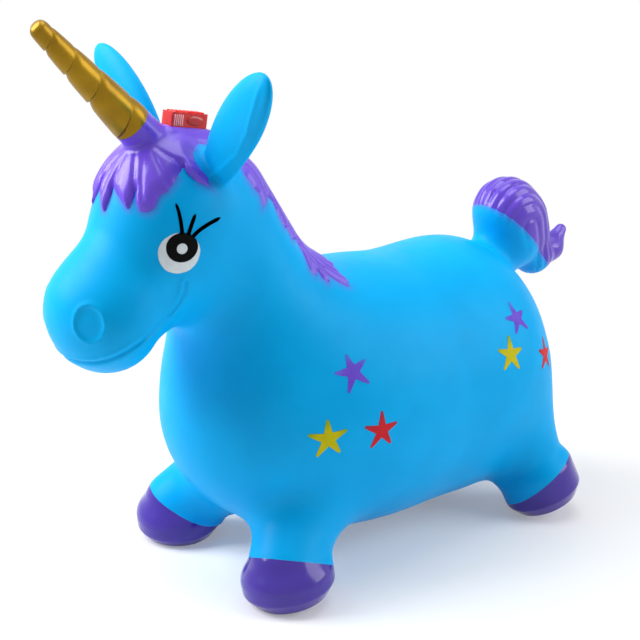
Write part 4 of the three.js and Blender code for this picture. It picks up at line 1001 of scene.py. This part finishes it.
def ribbon(path, widths):
    path = np.asarray(path, float)
    columns = len(RIBBON)
    verts, faces = [], []
    for n, (point, width) in enumerate(zip(path, widths)):
        ahead = path[min(n + 1, len(path) - 1)] - path[max(n - 1, 0)]
        across = vec(-ahead[1], ahead[0]) / np.linalg.norm(ahead)
        verts += [point + across * width * share for share in RIBBON]
        if n:
            for a in range((n - 1) * columns, n * columns - 1):
                faces.append((a + columns, a + columns + 1, a + 1, a))
    return np.array(verts), faces


def oval(cx, cy, rx, ry, rough, phase, count=72):
    t = np.arange(count) / count * 2 * math.pi
    wobble = 1 + rough * (np.sin(5 * t + phase) + 0.6 * np.sin(11 * t + 2 * phase) + 0.5 * np.sin(23 * t))
    return np.stack([cx + rx * wobble * np.cos(t), cy + ry * wobble * np.sin(t)], 1)


def smooth_path(points, count=14):
    points = np.asarray(points, float)
    t = np.linspace(0, 1, count)
    whole = np.linspace(0, 1, len(points))
    fits = [np.polyfit(whole, points[:, n], min(3, len(points) - 1)) for n in range(2)]
    return np.stack([np.polyval(fit, t) for fit in fits], 1)


def decal(name, flat_mesh, centre, out, material, form, rise=DECAL_RISE, spray=None):
    """Lays a flat shape on both sides of the animal; x runs to the viewer's right on the left side."""
    out = unit(out)
    side = unit(np.cross((0, 0, 1), out))
    up = np.cross(out, side)
    mesh = laid(*flat_mesh, vec(*centre), side, up, form, rise)
    for label, flipped in SIDES:
        shape = mirrored(mesh) if flipped else mesh
        made = piece(f"{name}_{label}", shape, material, normals_of(form, shape[0]))
        if spray is not None:
            note(made, "spray", spray)
        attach(made, "hopper")


EYE = (56.6, -225.5, 321)
EYE_OUT = (0.93, -0.35, -0.04)
WHITE_RISE, BLACK_RISE, GLINT_RISE = 0.18, 0.3, 0.42
EYE_OVALS = [
    ("eye_white", (-1.3, -1.6, 17.0, 16.7, 0.007, 0.4), 7, white_paint, WHITE_RISE),
    ("eye_iris", (0.9, 3.1, 12.9, 12.1, 0.003, 1.3), 7, black_paint, BLACK_RISE),
    ("eye_glint", (0.7, 2.4, 4.3, 4.3, 0.004, 2.1), 4, white_paint, GLINT_RISE),
]
for name, size, steps, material, rise in EYE_OVALS:
    decal(name, disc(oval(*size), steps), EYE, EYE_OUT, material, head_form, rise)

# Each lash is a path up from the iris and its widths at both ends
LASH_BLUNT, LASH_LEAST = 14, 0.05
LASHES = [
    ([(1.0, 14), (0.6, 21.5), (-0.5, 30), (-2.6, 37.5)], (3.3, 2.3)),
    ([(6.0, 13), (8.6, 20), (12.6, 28.5)], (3.2, 2.9)),
    ([(9.5, 11), (16.5, 16.5), (25, 20.2), (34, 23)], (3.2, 3.0)),
]
for n, (points, (first, last)) in enumerate(LASHES):
    line = smooth_path(points)
    share = np.linspace(0, 1, len(line))
    end = np.sqrt(np.clip(1.02 - share ** LASH_BLUNT, LASH_LEAST, 1))
    widths = (first + (last - first) * share) * end
    decal(f"eye_lash_{n + 1}", ribbon(line, widths), EYE, EYE_OUT, black_paint, head_form, BLACK_RISE)

# Stars with blunt tips, whose paint thins out most towards the upper tips
STAR_INNER = 0.4
STAR_BLUNT = 1.2
STAR_TIP = 0.6
STAR_FADE = 0.8
STAR_FADE_UP = 0.3
STAR_FADE_REACH = (0.5, 1.35)


def star(radius, turn, arms):
    ring = []
    for n, arm in enumerate(arms):
        angle = turn + n * 2 * math.pi / len(arms)
        tip = radius * arm * vec(math.sin(angle), math.cos(angle))
        before, after = angle - math.pi / len(arms), angle + math.pi / len(arms)
        inner = radius * STAR_INNER
        left = inner * vec(math.sin(before), math.cos(before))
        right = inner * vec(math.sin(after), math.cos(after))
        blunt = STAR_BLUNT * unit(right - left)
        for t in (0, 0.25, 0.5, 0.75, 1):
            ring.append(left + (tip - blunt - left) * t)
        ring.append(tip + STAR_TIP * unit(tip))
        for t in (0, 0.25, 0.5, 0.75):
            ring.append(tip + blunt + (right - tip - blunt) * t)
    return ring[::-1]


# Each star's piece, tint, place, radius, turn and the lengths of its five arms
STARS = [
    ("star_front_purple", "purple", (100.0, -82.3, 202.6), 16.4, -0.24, (0.96, 0.97, 1.08, 1.1, 1.05)),
    ("star_front_yellow", "yellow", (103.8, -111.2, 149.7), 16.5, -0.04, (1.0, 1.05, 1.01, 1.08, 1.1)),
    ("star_front_red", "red", (116.4, -62.2, 149.7), 15.8, 0.02, (1.07, 0.99, 1.0, 1.09, 1.11)),
    ("star_rear_purple", "purple", (97.4, 119.6, 211.9), 15.0, -0.1, (1.12, 0.86, 1.08, 1.02, 0.98)),
    ("star_rear_yellow", "yellow", (111.1, 99.6, 184.2), 15.8, 0.12, (1.08, 0.96, 1.06, 1.04, 1.0)),
    ("star_rear_red", "red", (103.2, 155.0, 171.2), 15.0, 0.2, (1.08, 0.96, 1.0, 1.04, 0.98)),
]
for name, tint, spot, radius, turn, arms in STARS:
    spot = vec(*spot)
    flat = disc(star(radius, turn, arms), 8)
    reach = np.linalg.norm(flat[0], axis=1) / radius
    thin = STAR_FADE * smooth_step(reach + STAR_FADE_UP * flat[0][:, 1] / radius, *STAR_FADE_REACH)
    decal(name, flat, spot, normals_of(trunk, spot[None])[0], star_paints[tint], rump_form, spray=thin)

# Valve: a soft lipped seat and a push-in plug, turned about the valve's axis
SHARP = math.radians(50)


def lathe(profile, count=64):
    angles = np.arange(count) / count * 2 * math.pi
    return [np.stack([r * np.cos(angles), r * np.sin(angles), np.full(count, z)], 1) for r, z in profile]


def turned_piece(name, profile, material, body_name, node):
    verts, faces = turned_net(lathe(profile))
    made = piece(name, (placed(verts, VALVE, VALVE_OUT), faces), material)
    made.modifiers.new("edges", "EDGE_SPLIT").split_angle = SHARP
    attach(made, body_name)
    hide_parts(node)


seat_profile = [(4.5, -11), (13, -11), (13, 0.2), (15.4, 0.2), (16, 0.7), (15.8, 1.4), (15, 1.9), (11, 2.0),
                (10.6, 1.5), (9.4, 1.5), (9, 2.0), (5.2, 2.0), (4.5, 1.4), (4.5, -11)]
plug_profile = [(0.01, -12.7), (2.6, -12.7), (3.0, -12.3), (4.3, -5.2), (4.3, 2.3), (7.0, 2.3), (7.5, 2.8),
                (7.5, 3.7), (7.0, 4.6), (6.0, 5.2), (4.6, 5.3), (4.2, 4.9), (0.01, 4.8)]
turned_piece("valve_seat_soft", seat_profile, vinyl, "hopper", "valve_seat")
turned_piece("valve_plug_soft", plug_profile, pale_plastic, "plug", "valve_plug")

# Module: the imported pieces with eased edges and their own finishes, a dark red oval mark on each side of
# the cover, and pink bars at its front end that are painted reflections, stripes of light laid on as thin
# raised marks
FINISHES = {
    "module_pocket": hair_paint, "module_tray": pale_plastic, "module_cover": red_plastic,
    "module_screw_1": steel, "module_screw_2": steel, "circuit_board": board_green, "speaker": dark_plastic,
    "led_1": white_plastic, "led_2": white_plastic, "button_cell_1": steel, "button_cell_2": steel,
    "button_cell_3": steel, "battery_contact_1": steel, "battery_contact_2": steel, "shake_spring": steel,
    "shake_pin": steel,
}
EASED = {"module_tray": 0.0003, "module_cover": 0.0006, "module_pocket": 0.0003}
for node, material in FINISHES.items():
    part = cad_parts[node]
    part.data.materials.clear()
    part.data.materials.append(material)
    if node in EASED:
        ease = part.modifiers.new("ease", "BEVEL")
        ease.width = EASED[node]
        ease.segments = 3
        ease.limit_method = "ANGLE"
        ease.angle_limit = SHARP
        ease.harden_normals = True
        part.data.polygons.foreach_set("use_smooth", [True] * len(part.data.polygons))

# A mark's rim is a list of shares of its outline and of its thickness
MARK_SINK = 0.2
MARK_RIM = ((1.0, 0.6), (0.97, 1), (0.5, 1), (0.02, 1))
COVER_HALF = 8
OVAL = (4.6, 8.0, 8.2, 3.9)
OVAL_RISE = 0.35
# Pink bars, painted reflections: their count, first place and pitch along the cover, half width, height span
# and rise
BARS, BAR_START, BAR_PITCH = 5, -15.2, 1.9
BAR_HALF, BAR_LOW, BAR_HIGH = 0.55, 3.2, 12.4
BAR_RISE = 0.3


def module_point(x, y, z):
    return MODULE + x * vec(1, 0, 0) + y * MODULE_BACK + z * MODULE_UP


def mark(name, ring, thickness, material, side):
    """A flat mark on a side of the cover (the oval, or a painted reflection bar), with a rounded rim; ring is
    [along, up] in the module's frame.
    """
    ring = np.asarray(ring, float)
    middle = ring.mean(0)
    levels = [(1.0, -MARK_SINK)] + [(size, thickness * share) for size, share in MARK_RIM]
    rows = []
    for size, rise in levels:
        loop = middle + (ring - middle) * size
        rows.append(np.array([module_point(side * (COVER_HALF + rise), y, z) for y, z in loop]))
    verts, faces = turned_net(rows)
    made = piece(name, (verts, faces if side > 0 else [face[::-1] for face in faces]), material)
    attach(made, "sound_module")


for side, label in ((1, "left"), (-1, "right")):
    mark(f"module_oval_{label}", oval(*OVAL, 0, 0), OVAL_RISE, dark_red, side)
    # Pink bars are painted reflections: vertical stripes of light on the cover's front end
    for n in range(BARS):
        y = BAR_START + n * BAR_PITCH
        near, far = y - BAR_HALF, y + BAR_HALF
        bar = [(near, BAR_LOW), (far, BAR_LOW), (far, BAR_HIGH), (near, BAR_HIGH)]
        mark(f"module_bar_{n + 1}_{label}", bar, BAR_RISE, painted_reflection_pink, side)


# Floor, world, camera and lights
def seeing_rays(tree):
    """One for camera, glossy and transmission rays, which show a white room, and zero for the rest."""
    rays = tree.nodes.new("ShaderNodeLightPath")
    seen = rays.outputs["Is Camera Ray"]
    for kind in ("Is Glossy Ray", "Is Transmission Ray"):
        seen = combined(tree, "MAXIMUM", seen, rays.outputs[kind])
    return seen


FLOOR_HALF = 4.0
FLOOR_COLOUR = (0.95, 0.955, 0.96, 1)
WHITE_FROM, WHITE_TO, WHITE_LEAST = 0.1, 0.85, 0.25
ROOM_LIGHT = 0.09
floor_mesh = bpy.data.meshes.new("floor")
corners = [(x * FLOOR_HALF, y * FLOOR_HALF, 0) for x, y in ((-1, -1), (1, -1), (1, 1), (-1, 1))]
floor_mesh.from_pydata(corners, [], [(0, 1, 2, 3)])
floor = bpy.data.objects.new("floor", floor_mesh)
bpy.context.scene.collection.objects.link(floor)
floor_paint = bpy.data.materials.new("floor_paint")
floor_paint.use_nodes = True
tree = floor_paint.node_tree
shader = tree.nodes["Principled BSDF"]
shader.inputs["Base Color"].default_value = FLOOR_COLOUR
shader.inputs["Roughness"].default_value = 0.6
shader.inputs["Specular IOR Level"].default_value = 0.2
place = tree.nodes.new("ShaderNodeTexCoord")
length = tree.nodes.new("ShaderNodeVectorMath")
length.operation = "LENGTH"
link(tree, place.outputs["Object"], length.inputs[0])
far = spread(tree, length.outputs["Value"], WHITE_LEAST, 1, WHITE_FROM, WHITE_TO)
far.node.interpolation_type = "SMOOTHSTEP"
glow = tree.nodes.new("ShaderNodeEmission")
glow.inputs["Strength"].default_value = 1.0
fade = tree.nodes.new("ShaderNodeMixShader")
link(tree, combined(tree, "MULTIPLY", far, seeing_rays(tree)), fade.inputs[0])
link(tree, shader.outputs["BSDF"], fade.inputs[1])
link(tree, glow.outputs["Emission"], fade.inputs[2])
link(tree, fade.outputs["Shader"], tree.nodes["Material Output"].inputs["Surface"])
floor_mesh.materials.append(floor_paint)

scene = bpy.context.scene
world = bpy.data.worlds.new("studio")
scene.world = world
world.use_nodes = True
tree = world.node_tree
background = tree.nodes["Background"]
background.inputs["Color"].default_value = (1, 1, 1, 1)
strength = spread(tree, seeing_rays(tree), ROOM_LIGHT, 1, 0, 1)
link(tree, strength, background.inputs["Strength"])

AZIMUTH, ELEVATION, ROLL = (math.radians(a) for a in (50.65, 17.35, 0.76))
TARGET = vec(-30.44, -12.25, 202.95)
DISTANCE = 1356.8
SENSOR, LENS = 36, 80.85
level = vec(math.cos(AZIMUTH), math.sin(AZIMUTH), 0)
ahead = vec(math.sin(AZIMUTH), -math.cos(AZIMUTH), 0)
back = ahead * math.cos(ELEVATION) + vec(0, 0, math.sin(ELEVATION))
upright = np.cross(back, level)
right = level * math.cos(ROLL) + upright * math.sin(ROLL)
up = upright * math.cos(ROLL) - level * math.sin(ROLL)
lens = bpy.data.cameras.new("camera")
lens.sensor_width = SENSOR
lens.lens = LENS
camera = bpy.data.objects.new("camera", lens)
scene.collection.objects.link(camera)
eye = metres(TARGET + back * DISTANCE)
rows = [(*row, place) for row, place in zip(np.stack([right, up, back], 1), eye)]
camera.matrix_world = Matrix(rows + [(0, 0, 0, 1)])
scene.camera = camera

AIM = Vector((0, -0.03, 0.2))


def lamp(name, direction, distance, size, power):
    data = bpy.data.lights.new(name, "AREA")
    data.shape = "RECTANGLE"
    data.size, data.size_y = size
    data.energy = power
    made = bpy.data.objects.new(name, data)
    scene.collection.objects.link(made)
    made.location = AIM + Vector(unit(direction)) * distance
    made.rotation_euler = (AIM - made.location).to_track_quat("-Z", "Y").to_euler()


lamp("key", -0.85 * level + 0.03 * back + vec(0, 0, 0.7), 1.7, (1.1, 1.4), 44)
lamp("fill", 1.0 * level + 0.1 * back + vec(0, 0, 0.45), 2.0, (1.3, 1.6), 24)
lamp("top", 0.1 * level - 0.1 * back + vec(0, 0, 1), 1.7, (1.4, 1.0), 17)

scene.view_settings.view_transform = "Standard"
